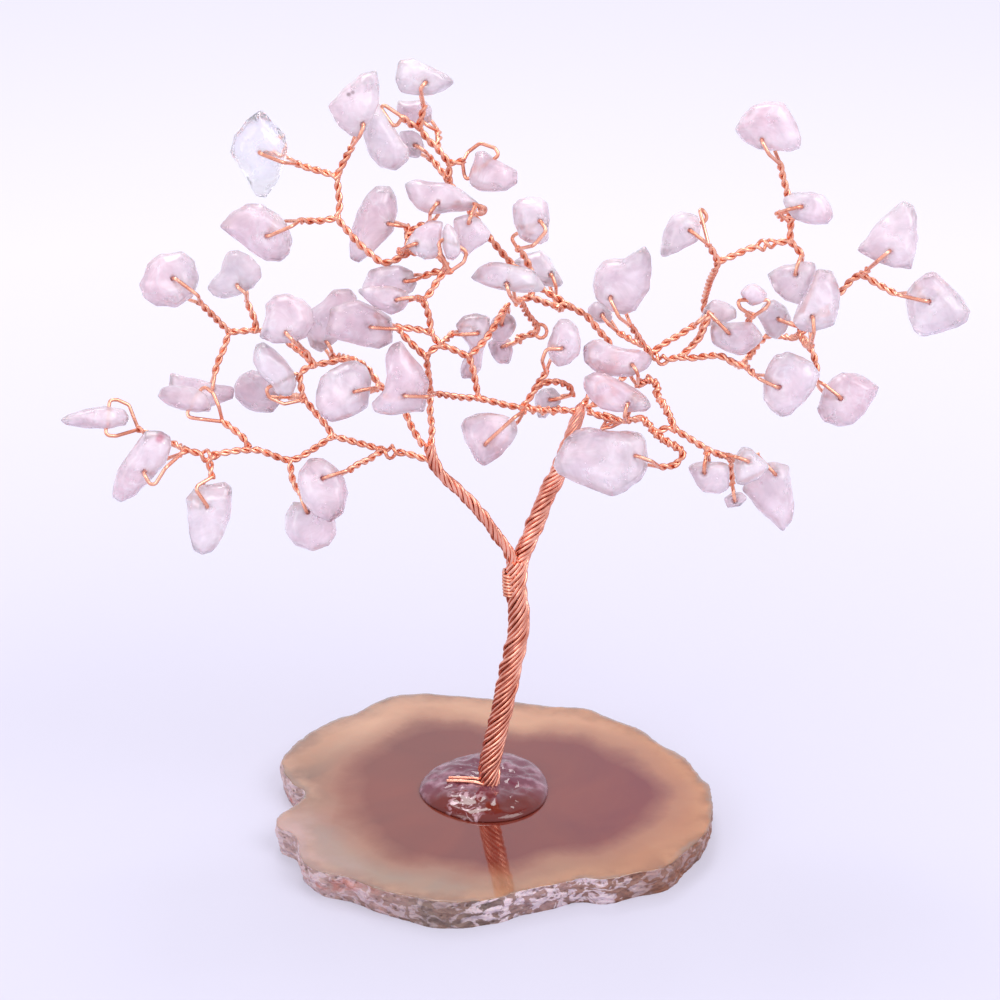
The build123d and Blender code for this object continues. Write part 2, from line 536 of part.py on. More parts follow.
        twig=[(790, 241, 14), (796, 248, 14), (802, 254, 14)],
        out=[], home=[]),
    "chip_right_11": dict(
        wire="right_outer_wire", back=-20, thick=1.05, turn=6, lean=-6,
        edge=[(818, 269), (832, 271), (837, 283), (840, 295), (838, 310), (834, 325), (824, 329),
              (810, 332), (799, 330), (793, 322), (797, 308), (808, 290)],
        hole=[(811, 318)],
        twig=[(800, 334, 32), (806, 345, 10), (811, 346, -16)],
        out=[], home=[]),
    "chip_right_12": dict(
        wire="right_wire", back=-14, thick=1.1, turn=-10, lean=6,
        edge=[(775, 354), (787, 352), (800, 357), (813, 362), (820, 374), (815, 387), (802, 404),
              (792, 415), (782, 417), (772, 411), (764, 399), (764, 380), (768, 365)],
        hole=[(781, 386)],
        twig=[(747, 367, 4), (751, 371, -6), (755, 375, -12)],
        out=[], home=[]),
    "chip_right_13": dict(
        wire="right_outer_wire", back=24, thick=1.1, turn=8, lean=-6,
        edge=[(824, 388), (832, 378), (842, 372), (856, 374), (869, 379), (879, 387), (875, 396),
              (864, 414), (852, 424), (838, 426), (824, 421), (817, 409)],
        hole=[(839, 400)],
        twig=[(800, 334, 32), (808, 344, 32), (814, 356, 30), (817, 370, 28), (815, 380, 26)],
        out=[], home=[]),
    "chip_right_14": dict(
        wire="lower_right_wire", back=-16, thick=0.85, turn=8, lean=-6,
        edge=[(736, 455), (742, 447), (751, 449), (761, 458), (769, 467), (759, 479), (744, 486),
              (736, 484), (734, 471)],
        hole=[(747, 463)],
        twig=[(721, 455, -12), (727, 456, -14)],
        out=[], home=[]),
    "chip_right_15": dict(
        wire="lower_right_wire", back=-16, thick=0.9, turn=-8, lean=6,
        edge=[(688, 467), (694, 463), (706, 462), (720, 462), (728, 465), (730, 476), (729, 488),
              (720, 493), (704, 492), (696, 483)],
        hole=[(706, 472)],
        twig=[(708, 450, -14), (707, 453, -15)],
        out=[], home=[]),
    "chip_right_16": dict(
        wire="lower_right_wire", back=32, thick=0.95, turn=8, lean=8,
        edge=[(764, 464), (775, 462), (789, 466), (790, 482), (794, 505), (792, 521), (783, 531),
              (776, 526), (758, 510), (742, 489), (752, 474)],
        hole=[(774, 473)],
        twig=[(721, 455, -12), (730, 457, 8), (744, 460, 22), (758, 456, 30)],
        out=[], home=[]),
    "chip_right_17": dict(
        wire="lower_right_wire", back=14, thick=0.6, turn=0, lean=6,
        edge=[(723, 498), (732, 492), (741, 492), (747, 498), (740, 506), (728, 507)],
        hole=[(735, 500)],
        twig=[(730, 457, 8), (731, 470, 12), (732, 483, 14)],
        out=[], home=[]),
    "chip_right_18": dict(
        wire="lower_right_wire", back=-34, thick=1.35, turn=6, lean=-4,
        edge=[(576, 430), (588, 427), (607, 430), (625, 431), (640, 433), (647, 440), (648, 455),
              (647, 470), (641, 480), (626, 491), (612, 496), (592, 489), (573, 481), (559, 475),
              (554, 466), (557, 454), (565, 440)],
        hole=[(633, 457)],
        twig=[(675, 465, -26), (667, 467, -30), (660, 467, -34)],
        out=[], home=[]),
    "chip_right_19": dict(
        wire="lower_right_wire", back=-36, thick=1.15, turn=-8, lean=6,
        edge=[(584, 377), (594, 371), (605, 373), (622, 382), (636, 390), (647, 397), (652, 406),
              (646, 411), (633, 412), (615, 411), (601, 408), (590, 399), (583, 388)],
        hole=[(630, 402)],
        twig=[(641, 418, -13), (634, 420, -26), (626, 421, -36)],
        out=[], home=[]),
    "chip_right_20": dict(
        wire="lower_right_wire", back=6, thick=1.1, turn=8, lean=-8,
        edge=[(584, 347), (592, 340), (600, 340), (610, 346), (623, 350), (639, 351), (649, 354),
              (652, 360), (647, 368), (632, 376), (612, 376), (594, 371), (583, 362)],
        hole=[(630, 367)],
        twig=[(648, 378, 0), (644, 382, 2), (638, 386, 4)],
        out=[], home=[]),
    "chip_right_21": dict(
        wire="right_wire", back=70, thick=0.75, turn=-6, lean=6,
        edge=[(588, 309), (595, 302), (605, 304), (613, 312), (611, 321), (600, 323), (590, 317)],
        hole=[(603, 314)],
        twig=[(643, 345, 34), (632, 340, 52), (618, 332, 68)],
        out=[], home=[]),
    "chip_right_22": dict(
        wire="right_outer_wire", back=48, thick=0.9, turn=8, lean=6,
        edge=[(756, 316), (764, 304), (774, 300), (785, 307), (791, 318), (786, 331), (776, 340),
              (768, 336), (764, 326)],
        hole=[(777, 318)],
        twig=[(800, 334, 32), (801, 331, 44), (800, 327, 48)],
        out=[], home=[]),
}

# Chips that hang loosely on an open loop: each is a node and a body of its own. The others are
# drawn tight, and share a node with their neighbours on the same wire.
LOOSE_CHIPS = [
    "chip_left_01", "chip_left_02", "chip_left_03", "chip_left_04", "chip_left_05",
    "chip_left_07", "chip_left_08", "chip_left_09", "chip_left_14", "chip_left_16",
    "chip_top_01", "chip_top_02", "chip_top_03", "chip_top_05", "chip_top_08", "chip_top_13",
    "chip_centre_01", "chip_centre_04", "chip_centre_06",
    "chip_right_01", "chip_right_03", "chip_right_04", "chip_right_05", "chip_right_06",
    "chip_right_12", "chip_right_13", "chip_right_16", "chip_right_18",
]

# Levels of a chip from back to front: the outline's size and the share of half the thickness
CHIP_LEVEL_SHARES = [(0.58, -1.0), (0.88, -0.62), (1.0, 0.0), (0.88, 0.62), (0.58, 1.0)]

# Steps that halve the way to the place where a wire's end stops short
HALVINGS = 12

# Share of the shorter run that a bend may take up at each end, and the least turn that is a bend
BEND_RUN_SHARE = 0.45
STRAIGHT_DEG = 3.0

AHEAD = Vector(0, cos(radians(VIEW_DROP_DEG)), -sin(radians(VIEW_DROP_DEG)))
ABOVE = Vector(0, sin(radians(VIEW_DROP_DEG)), cos(radians(VIEW_DROP_DEG)))
SIDE = Vector(1, 0, 0)


def in_span(share):
    """A length given in thousandths of the view's span."""
    return share / PLACES_IN_SPAN_SHARE * VIEW_SPAN


def sight(across, down):
    """Line of sight through a place of the view, from the eye to the plane that it is aimed at."""
    aside = SIDE * (in_span(across) - VIEW_SPAN / 2)
    return AHEAD * VIEW_DISTANCE + aside + ABOVE * (VIEW_SPAN / 2 - in_span(down))


EYE_Y = -VIEW_DISTANCE * cos(radians(VIEW_DROP_DEG))
FOOT_SIGHT = sight(*FOOT_SHARES)
EYE = Vector(0, 0, SLICE_T) - FOOT_SIGHT * (-EYE_Y / FOOT_SIGHT.Y)


def place(across, down, back=0):
    """Point of the part on the line of sight, as far behind the trunk's plane as back says."""
    line = sight(across, down)
    return EYE + line * ((in_span(back) - EYE.Y) / line.Y)


def on_plane(across, down, origin, normal):
    """Point where the line of sight meets a plane."""
    line = sight(across, down)
    return EYE + line * ((origin - EYE).dot(normal) / line.dot(normal))


def on_level(across, down, height):
    """Point where the line of sight meets a level of the part."""
    return on_plane(across, down, Vector(0, 0, height), Vector(0, 0, 1))


def middle(points):
    return sum(points, Vector(0, 0, 0)) / len(points)


def rounded(points, bend_r):
    """Path of straight runs joined by tangent arcs, each as large as its runs and bend_r allow."""
    kept = [points[0]]
    radii = []
    for i in range(1, len(points) - 1):
        run_in = points[i] - kept[-1]
        run_out = points[i + 1] - points[i]
        turn_deg = run_in.get_angle(run_out)
        if turn_deg < STRAIGHT_DEG:
            continue
        room = BEND_RUN_SHARE * min(run_in.length, run_out.length) / tan(radians(turn_deg) / 2)
        kept.append(points[i])
        radii.append(min(bend_r, room))
    kept.append(points[-1])
    if not radii:
        return Polyline(*kept)
    return FilletPolyline(*kept, radius=radii)


def tube(points, diameter, bend_r):
    path = rounded(points, bend_r)
    section = Plane(origin=path @ 0, z_dir=path % 0) * Circle(diameter / 2)
    return sweep(section, path=path).solid()


def ball(centre, way, diameter):
    """Ball with its poles along a way, so that a tube that ends in it covers one of them."""
    return Solid.make_sphere(diameter / 2, Plane(centre, z_dir=way), angle1=-90, angle2=90, angle3=360)


def lofted(rings):
    """Solid with flat or ruled sides through closed outlines with the same number of points."""
    return Solid.make_loft([Wire.make_polygon(ring, close=True) for ring in rings], ruled=True)


class ChipPlan:
    """Places of one chip: its middle plane, its outline, its hole and its loop of wire."""

    def __init__(self, name):
        plan = CHIP_SHARES[name]
        self.name = name
        self.wire = plan["wire"]
        self.half_t = CHIP_T * plan["thick"] / 2
        edge = plan["edge"]
        across = sum(p[0] for p in edge) / len(edge)
        down = sum(p[1] for p in edge) / len(edge)
        self.centre = place(across, down, plan["back"])
        facing = (EYE - self.centre).normalized()
        self.normal = facing.rotate(Axis.Z, plan["turn"]).rotate(Axis.X, plan["lean"])
        self.edge = [self.at(*p) for p in edge]
        self.leg_lift = self.half_t + LEG_GAP + WIRE_D / 2
        self.closing = place(*plan["twig"][-1])
        holes = [self.at(*p) for p in plan["hole"]]
        if len(holes) == 1:
            self.bore_axis = self.normal
            self.bore_mid = holes[0]
            reach = self.leg_lift
        else:
            self.bore_axis = (holes[0] - holes[1]).normalized()
            self.bore_mid = middle(holes)
            reach = (holes[0] - holes[1]).length / 2 + LOOP_BEND_R + LEG_GAP
        self.mouths = [self.bore_mid + self.bore_axis * reach, self.bore_mid - self.bore_axis * reach]
        self.through = len(holes) == 1
        self.out = [self.lifted(*p) for p in plan["out"]]
        self.home = [self.lifted(*p) for p in plan["home"]]
        if self.through and not self.out:
            self.out = [self.shoulder(1)]
        if self.through and not self.home:
            self.home = [self.shoulder(-1)]

    def at(self, across, down):
        return on_plane(across, down, self.centre, self.normal)

    def lifted(self, across, down, lift):
        """Place beside the chip, off its middle plane by a share of the way to the legs."""
        return self.at(across, down) + self.normal * (lift * self.leg_lift)

    def shoulder(self, side):
        """Where a leg turns over the chip's edge on its way from the hole to the closing place."""
        flat = self.closing - self.normal * (self.closing - self.centre).dot(self.normal)
        way = (flat - self.bore_mid).normalized()
        across = self.normal.cross(way)
        reach = 0
        for a, b in zip(self.edge, self.edge[1:] + self.edge[:1]):
            side_a = (a - self.bore_mid).dot(across)
            side_b = (b - self.bore_mid).dot(across)
            if side_a * side_b < 0:
                crossing = a + (b - a) * (side_a / (side_a - side_b))
                reach = max(reach, (crossing - self.bore_mid).dot(way))
        out = self.bore_mid + way * (reach + EDGE_GAP)
        return out + self.normal * (side * self.leg_lift)

    def chip(self):
        rings = []
        for size, lift in CHIP_LEVEL_SHARES:
            rings.append([self.centre + (p - self.centre) * size + self.normal * (lift * self.half_t)
                          for p in self.edge])
        length = 2 * max((p - self.centre).length for p in self.edge) + CHIP_T
        drill = Plane(origin=self.bore_mid - self.bore_axis * length, z_dir=self.bore_axis)
        bore = Solid.make_cylinder(WIRE_D / 2 + BORE_GAP, 2 * length, drill)
        return (lofted(rings) - bore).solid()

    def loop(self):
        """The single wire from the twig's end through the hole and back."""
        aside = self.bore_axis * (LOOP_SPREAD / 2)
        points = [self.closing + aside, *self.out, *self.mouths, *self.home, self.closing - aside]
        return tube(points, WIRE_D, LOOP_BEND_R)


def bundle(shares, diameter):
    return tube([place(*p) for p in shares], diameter, LIMB_BEND_R)


def agate_slice():
    top = [on_level(*p, SLICE_T) for p in SLICE_EDGE_SHARES]
    heart = middle(top)
    rings = []
    for size, height in CRUST_SHARES:
        level = Vector(0, 0, (height - 1) * SLICE_T)
        rings.append([heart + (p - heart) * size + level for p in top])
    return lofted(rings)


def foot_wires(trunk):
    """Wire ends that leave the trunk's foot and lie spread on the slice."""
    low = SLICE_T + FOOT_WIRE_LIFT + FOOT_WIRE_D / 2
    high = SLICE_T + FOOT_WIRE_RISE
    wires = []
    for across, down in FOOT_WIRE_END_SHARES:
        tip = on_level(across, down, low)
        root = Vector(0, 0, high)
        knee = Vector(tip.X, tip.Y, 0) * FOOT_KNEE_SHARE + Vector(0, 0, low)
        wires.append((tube([root, knee, tip], FOOT_WIRE_D, FOOT_WIRE_BEND_R) - trunk).solid())
    return wires


def glue_mound(pieces):
    """Dome on the slice, with the trunk's foot and the foot wires cast into it."""
    edge = [on_level(*p, SLICE_T) for p in GLUE_EDGE_SHARES]
    heart = middle(edge)
    rings = []
    for size, height in GLUE_LEVEL_SHARES:
        rings.append([heart + (p - heart) * size + Vector(0, 0, height * GLUE_RISE) for p in edge])
    mound = lofted(rings)
    for piece in pieces:
        mound = mound - piece
    return mound.solids().sort_by(SortBy.VOLUME)[-1]


def stopped_short(end, inward, carriers):
    """Place on the way inward from a run's end where a knot stands clear of the carriers."""
    least = KNOT_D / 2 + ROOT_GAP
    if all(carrier.distance_to(end) >= least for carrier in carriers):
        return end
    taken, clear = 0, 1
    for _ in range(HALVINGS):
        share = (taken + clear) / 2
        point = end + (inward - end) * share
        if all(carrier.distance_to(point) >= least for carrier in carriers):
            clear = share
        else:
            taken = share
    return end + (inward - end) * clear


def branch_wire(name, plans, carriers):
    """One length of wire: its twisted stems, the knots where they part, and its loops."""
    ends_at = {}
    for stem in STEM_SHARES[name]:
        for end, inward in [(stem[0], stem[1]), (stem[-1], stem[-2])]:
            if end not in ends_at:
                ends_at[end] = stopped_short(place(*end), place(*inward), carriers)
    twigs = [CHIP_SHARES[plan.name]["twig"] for plan in plans if plan.wire == name]
    runs = [[ends_at.get(p) or place(*p) for p in stem] for stem in STEM_SHARES[name] + twigs]
    knots = {}
    for run in runs:
        for end, way in [(run[0], run[1] - run[0]), (run[-1], run[-1] - run[-2])]:
            if all((end - other).length > WIRE_D / 2 for other in knots):
                knots[end] = ball(end, way, KNOT_D)
    stems = [tube(run, STEM_D, STEM_BEND_R) for run in runs]
    loops = [plan.loop() for plan in plans if plan.wire == name]
    wire, *rest = [*knots.values(), *stems, *loops]
    for piece in rest:
        wire = wire.fuse(piece)
    return wire


def save(solids, name):
    shape = solids[0] if len(solids) == 1 else Compound(children=solids)
    shape.label = name
    export_step(shape, f"parts/{name}.step")


def cut_to(piece, others):
    for other in others:
        piece = piece - other
    return piece.solids().sort_by(SortBy.VOLUME)[-1]


plans = [ChipPlan(name) for name in CHIP_SHARES]
slab = agate_slice()
built = {"agate_slice": [slab]}

trunk = cut_to(bundle(TRUNK_SHARES, TRUNK_D), [slab])
right_limb = cut_to(bundle(RIGHT_LIMB_SHARES, RIGHT_LIMB_D), [trunk])
left_limb = cut_to(bundle(LEFT_LIMB_SHARES, LEFT_LIMB_D), [trunk, right_limb])
built["trunk"] = [trunk]
built["right_limb"] = [right_limb]
built["left_limb"] = [left_limb]
built["foot_wires"] = foot_wires(trunk)
built["glue_mound"] = [glue_mound([trunk] + built["foot_wires"])]

for name, roots in ROOT_OF_WIRE.items():
    built[name] = [branch_wire(name, plans, [built[root][0] for root in roots])]

for plan in plans:
    node = plan.name if plan.name in LOOSE_CHIPS else plan.wire.replace("_wire", "_tight_chips")
    built.setdefault(node, []).append(plan.chip())

os.makedirs("parts", exist_ok=True)
for name, solids in built.items():
    save(solids, name)
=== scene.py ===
# Gemstone tree ornament: looks. Drilled rose quartz chips on twisted copper wire, with a trunk
# of bundled strands that set glue holds on a polished agate slice.
# Metres, in the frame of the solids. Places are given in the photograph's own pixels, which are
# thousandths of the view's span: across, down, and how far behind the trunk's plane. The tables
# name them one after another, as pairs (across,down) or as trios (across,down,behind).
import bpy
from math import cos, degrees, exp, pi, radians, sin, tan
from mathutils import Matrix, Vector, noise
from mathutils.kdtree import KDTree


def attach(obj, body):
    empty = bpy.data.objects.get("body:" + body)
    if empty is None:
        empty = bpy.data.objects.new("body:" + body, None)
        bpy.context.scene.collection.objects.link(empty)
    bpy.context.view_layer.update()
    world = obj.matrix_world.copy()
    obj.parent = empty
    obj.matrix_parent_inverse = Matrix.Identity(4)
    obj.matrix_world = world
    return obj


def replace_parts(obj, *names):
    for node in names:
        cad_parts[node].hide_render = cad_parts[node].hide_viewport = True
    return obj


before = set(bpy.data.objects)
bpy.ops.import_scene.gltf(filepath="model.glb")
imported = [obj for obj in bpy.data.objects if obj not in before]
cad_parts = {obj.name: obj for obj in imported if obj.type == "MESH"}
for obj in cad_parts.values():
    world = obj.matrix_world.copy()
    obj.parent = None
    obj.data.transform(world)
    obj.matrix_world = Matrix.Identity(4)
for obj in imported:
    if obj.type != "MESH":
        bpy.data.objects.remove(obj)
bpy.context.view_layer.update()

MM = 0.001

# Front view that the places follow: the upright plane through the trunk, seen from above
VIEW_SPAN = 160 * MM
VIEW_DISTANCE = 450 * MM
VIEW_DROP_DEG = 23.0
FOOT_SHARES = (490, 795)

# Wire: strands, twisted pairs and single loops
WIRE_D = 0.6 * MM
PAIR_PITCH = 3.3 * MM
PAIR_WANDER = 0.35
PAIR_PHASE = 1.7
STEM_BEND_R = 2.4 * MM
STEM_STEP = 0.22 * MM
LOOP_BEND_R = 0.8 * MM
LOOP_SPREAD = 0.2 * MM
LOOP_STEP = 0.2 * MM
BEND_RUN_SHARE = 0.45
BEND_STEPS = 7
STRAIGHT_DEG = 3.0
# Runs over which a strand strays round its path, and nearer to it or further off
WANDER_RUN = 9 * MM
ROUGH_RUN = 4 * MM
# Small open eyes left in the twist: places, how far the strands part and over what run
EYE_SHARES = (391,452, 766,246, 541,332, 208,457, 659,362)
EYE_SPREAD = 0.75 * MM
EYE_HALF_RUN = 0.9 * MM
# Thin wire wound over stems and over the trunk under its fork: places, radius and pitch
WRAP_D = 0.5 * MM
WRAP_STEP = 0.08 * MM
WRAP_PHASE = 0.4
WRAP_WANDER = 0.3
WRAP_SHARES = [
    ((641,383,4, 648,378,0, 658,385,-4, 656,394,-8, 664,405,-12, 670,418,-14), 0.5 * MM, 1.2 * MM),
    ((644,420,-14, 648,424,-15, 655,433,-16, 664,440,-18, 675,446,-20, 685,454,-23),
     0.5 * MM, 1.25 * MM),
    ((562,410,12, 546,411,12, 528,409,10), 0.6 * MM, 1.6 * MM),
    ((512,571,0, 512,583,0, 513,594,0), 1.5 * MM, 0.56 * MM),
]
# Wire ends folded flat beside the end of the right limb
FOLD_STEP = 0.2 * MM
FOLD_SHARES = [
    (622,421,-6, 613,416,-2, 604,413,2, 606,421,4, 601,429,5, 612,427,0, 622,422,-5),
    (622,421,-6, 612,419,-1, 605,416,3),
    (622,422,-6, 612,423,0, 604,426,4),
]

# Bundles of wire, strands laid in a ring round a core of more strands: diameter over all, pitch
# of the ring's strands, how many they are, and the run over which they draw in to the bundle's end
TRUNK_D = 3.7 * MM
TRUNK_LAY = (TRUNK_D, 13.5 * MM, 12)
RIGHT_LIMB_LAY = (3.0 * MM, 11 * MM, 10, 12 * MM)
LEFT_LIMB_LAY = (2.0 * MM, 8 * MM, 6)
LIMB_BEND_R = 12 * MM
LIMB_STEP = 0.3 * MM
RING_WANDER = 0.18
RING_ROUGH = 0.3 * MM
PROUD_STEP = 0.07 * MM
CORE_WANDER = 0.2
CORE_SEED = 50
CORE_COUNT_SHARE = 0.55
CORE_DEPTH_SHARE = 0.8
CORE_PITCH_SHARE = 0.9
# A bundle that draws in, and whose strands close at the tip
TAPER_SHARE = 0.5
TIP_RUN = 2.2 * MM
TIP_SHARE = 0.1

# Wire ends splayed in the glue, and two strand ends laid on it (across, down, height in mm)
FOOT_WIRE_RISE = 1.8 * MM
FOOT_WIRE_LIFT = 0.2 * MM
FOOT_WIRE_BEND_R = 1.6 * MM
FOOT_WIRE_STEP = 0.2 * MM
FOOT_ROOT_SHARE = 0.3
FOOT_KNEE_SHARE = 0.55
FOOT_WIRE_END_SHARES = (
    450,781, 459,795, 483,805, 511,803, 529,789, 520,771, 494,763, 467,767)
LAID_END_SHARES = [
    (487,785,2.6, 475,782,2.7, 461,781,2.55, 447,781,2.3),
    (487,781,2.6, 475,778.5,2.7, 461,778,2.5, 449,778,2.3),
]

# Stone chips: sizes as in the solids, then the tumbled skin's faces, swell and dents
CHIP_T = 4.6 * MM
LEG_GAP = 0.25 * MM
EDGE_GAP = 0.35 * MM
VOXEL = 0.3 * MM
SKIN_SMOOTHING = 3
SWELL = 0.18 * MM
DENT = 0.3 * MM
DENT_SIZE = 2.6 * MM
DENT_LEVEL = 0.2
DENT_SEED = 3.1
# Marks in single chips: place, size and colour
SPOT_SHARES = {
    ("upper_left", "top_03"): [(346, 97, 0.45 * MM, (120, 100, 104)),
                               (350, 95, 0.4 * MM, (136, 116, 120))],
    ("left_low", "left_02"): [(161, 437, 0.9 * MM, (214, 140, 160))],
}

# Slice and its rind, glue
SLICE_T = 5.0 * MM
SMOOTH_STEPS = 12
RIM_COUNT = 420
RIM_SHARE = 0.994
PLUM_COUNT = 240
RIND_LEAN = 1.3 * MM
RIND_EDGE = 0.25 * MM
RIND_ROUGH = 0.45 * MM
RIND_WAVE = 9 * MM
RIND_LUMP = 2.2 * MM
RIND_GRAIN = 0.8 * MM
RIND_LEVEL_SHARES = (0, 0.06, 0.16, 0.28, 0.4, 0.52, 0.64, 0.76, 0.87, 0.95, 1.0)
FACE_RING_SHARES = (0.985, 0.96, 0.92, 0.87, 0.82, 0.77, 0.72, 0.67, 0.62, 0.57, 0.52, 0.47, 0.42,
                    0.36, 0.3, 0.24, 0.18, 0.12, 0.06)
FACE_UP = 0.9
GLUE_RISE = 3.2 * MM
GLUE_RIDGE = 2.6 * MM
GLUE_RIDGE_SHARE = 0.26
GLUE_WRINKLE = 1.1 * MM
GLUE_WRINKLE_SHARE = 0.16
GLUE_COUNT = 120
GLUE_STEPS = 22
GLUE_FOOT_SHARE = 0.9
GLUE_SPREAD_SHARE = 0.985
GLUE_LEVEL_SHARE = 0.8
GLUE_MOST_SHARE = 0.98
GLUE_CROWN_SHARE = 0.84

SLICE_EDGE_SHARES = (
    278,762, 291,744, 312,729, 334,718, 353,712, 384,697, 416,692, 453,694, 487,697, 522,701,
    553,705, 587,707, 616,719, 644,729, 662,743, 687,757, 703,776, 714,788, 716,816, 709,835,
    687,854, 669,868, 634,876, 609,881, 587,880, 562,885, 522,893, 500,900, 469,904, 437,904,
    400,897, 375,891, 344,879, 312,872, 297,858, 295,845, 289,835, 274,828, 273,819, 284,810,
    297,801, 301,791, 288,783)
# Edge of the plum heart of the slice
PLUM_EDGE_SHARES = (
    342,797, 352,769, 374,745, 416,724, 470,723, 515,736, 557,734, 599,741, 635,758, 662,782,
    665,802, 647,824, 605,845, 545,857, 518,866, 482,872, 440,871, 399,861, 366,842, 348,820)
GLUE_EDGE_SHARES = (
    418,790, 428,774, 447,764, 470,757, 497,754, 522,759, 540,770, 549,787, 544,805, 526,817,
    500,823, 470,822, 444,814, 426,804)

TRUNK_SHARES = (
    490,801,0, 489,768,0, 494,741,0, 500,716,0, 506,691,0, 512,660,0, 519,630,0, 518,606,0,
    515,585,0, 517,560,0)
RIGHT_LIMB_SHARES = (
    518,572,1, 522,556,4, 530,536,6, 537,518,8, 546,497,10, 557,476,12, 566,452,14, 574,428,14,
    582,404,14)
LEFT_LIMB_SHARES = (
    515,570,-1, 511,555,-4, 499,538,-6, 486,520,-8, 471,503,-8, 458,489,-10, 443,477,-10,
    433,462,-10, 429,444,-10)

# Twisted stems of each branch wire
STEM_SHARES = dict(
    left_low=[(428,460,-9, 406,453,-7, 391,452,-5, 366,445,3, 348,440,8, 333,436,10),
        (333,436,10, 324,442,6, 312,450,0, 297,459,-3, 285,460,-4, 272,455,-6, 259,450,-8,
         241,450,-10, 222,453,-12, 209,457,-14, 198,453,-15, 186,450,-16)],
    left_rise=[(333,436,10, 326,425,14, 315,412,20, 303,398,28),
        (303,398,28, 301,388,29, 299,376,30, 304,369,32, 314,365,34),
        (314,365,34, 331,362,38, 347,358,40, 359,361,36, 369,370,30, 379,384,22),
        (379,384,22, 386,392,16, 398,404,10, 407,416,2, 413,430,-5, 422,444,-9)],
    far_left=[(314,365,34, 305,355,46, 288,342,64, 272,333,66, 256,330,60),
        (256,330,60, 242,331,60, 229,332,60)],
    centre_left=[(431,447,-10, 432,429,-6, 430,410,2, 430,390,4, 428,373,-2, 426,357,-8),
        (426,357,-8, 432,350,-6, 440,345,-4),
        (426,357,-8, 413,345,-5, 403,335,-2, 398,327,0)],
    centre=[(440,345,-4, 430,332,-5, 430,321,-7, 427,310,-9, 423,300,-10),
        (430,332,-5, 416,329,-2, 398,327,0),
        (423,300,-10, 430,293,-8, 436,283,-5, 445,270,0)],
    upper_left=[(445,270,0, 447,263,12, 436,254,24, 420,252,26, 405,254,14, 392,262,12, 381,263,12,
         358,243,11, 345,228,10, 337,218,10),
        (337,218,10, 340,205,11, 338,190,12, 337,176,12)],
    centre_cross=[(581,412,14, 562,410,12, 546,411,12, 522,408,10, 506,405,8, 478,398,5),
        (478,398,5, 476,385,4, 473,370,2, 469,357,0),
        (469,357,0, 452,349,-2, 440,345,-4)],
    top=[(584,404,18, 597,384,36, 612,362,44, 611,345,44, 599,330,45, 586,315,46, 569,306,47),
        (569,306,47, 559,299,50, 545,291,53, 527,279,56, 510,262,58, 492,241,60, 472,214,63,
         458,196,62, 449,182,60, 449,163,56),
        (449,163,56, 437,148,53, 427,139,51, 419,127,50)],
    upper_mid=[(569,306,47, 556,306,40, 543,302,35, 531,297,30, 520,300,24),
        (520,300,24, 527,314,50, 537,326,64, 543,332,68, 531,334,72, 518,338,76)],
    right=[(588,408,10, 607,397,22, 625,375,38, 640,359,42, 651,353,38),
        (651,353,38, 660,361,34, 680,357,28, 693,358,22, 707,356,18, 720,355,12, 734,363,7,
         747,367,4)],
    right_outer=[(734,363,7, 741,367,24, 750,356,48, 760,342,68, 770,334,80, 782,336,74,
         794,338,54, 800,334,32),
        (800,334,32, 814,320,14, 829,303,10, 840,293,8, 852,279,8, 861,274,6)],
    upper_right=[(680,357,28, 691,347,38, 700,337,54, 704,322,74, 704,300,72, 710,280,30,
         715,270,6, 718,262,0),
        (718,262,0, 735,255,4, 748,249,8, 759,246,10, 774,243,12, 790,241,14)],
    lower_right=[(590,412,8, 606,418,0, 622,421,-8, 641,418,-13, 648,424,-15, 655,433,-16),
        (655,433,-16, 664,440,-18, 675,446,-20, 685,454,-23, 675,465,-26),
        (655,433,-16, 668,427,-16, 676,430,-16, 696,443,-15, 708,450,-14, 721,455,-12),
        (676,430,-16, 670,418,-14, 664,405,-12, 656,394,-8, 658,385,-4, 648,378,0)])

# Chips of each branch wire, as in the solids: first how far behind, share of the usual thickness,
# turn and lean in degrees; then the outline, the hole and the twig; then, where they don't just
# pass the edge, the loop's ways out and home. Their third numbers are shares of the leg's lift.
CHIP_SHARES = {}
CHIP_SHARES["left_low"] = dict(
    left_01=(6, 0.8, 12, -8, (61,420, 66,416, 85,409, 106,406, 124,410, 129,418, 126,425, 107,429,
        85,427, 66,424), (109,406, 106,429), (186,450,-16, 176,444,10, 156,438,12, 138,429,8),
        (134,418,0, 129,405,0, 118,400,0), (116,436,0)),
    left_02=(-24, 0.9, -10, 10, (146,431, 162,431, 171,436, 173,446, 165,463, 149,481, 135,495,
        120,502, 113,497, 113,484, 119,469, 130,453), (146,470), (186,450,-16, 181,454,-20),
        (168,465,1, 155,486,1)),
    left_03=(-26, 1.1, 14, 6, (186,498, 196,486, 210,485, 225,482, 231,487, 231,503, 229,518,
        222,536, 212,552, 203,556, 194,551, 190,533), (204,506), (209,457,-14, 210,466,-18,
        212,477,-24), (190,486,1)),
    left_04=(2, 0.95, -12, -8, (158,396, 161,388, 171,385, 186,386, 198,389, 207,396, 211,405,
        211,412, 196,412, 181,409, 166,404), (200,391, 188,411), (248,446,-8, 244,438,-6,
        233,429,-2, 222,421,2), (219,407,0, 213,393,0), (200,419,0)),
    left_05=(-26, 1.15, -8, 0, (286,515, 293,502, 310,501, 327,506, 334,517, 336,533, 330,546,
        312,551, 294,545, 286,531), (309,512), (290,460,-4, 291,470,-10, 293,482,-18,
        300,493,-25)),
    left_06=(-40, 1.1, 10, -6, (299,471, 309,459, 323,458, 337,468, 346,480, 349,493, 343,513,
        330,522, 315,515, 302,500, 297,485), (321,480), (383,450,-3, 370,459,-16, 357,465,-30,
        350,470,-39)))
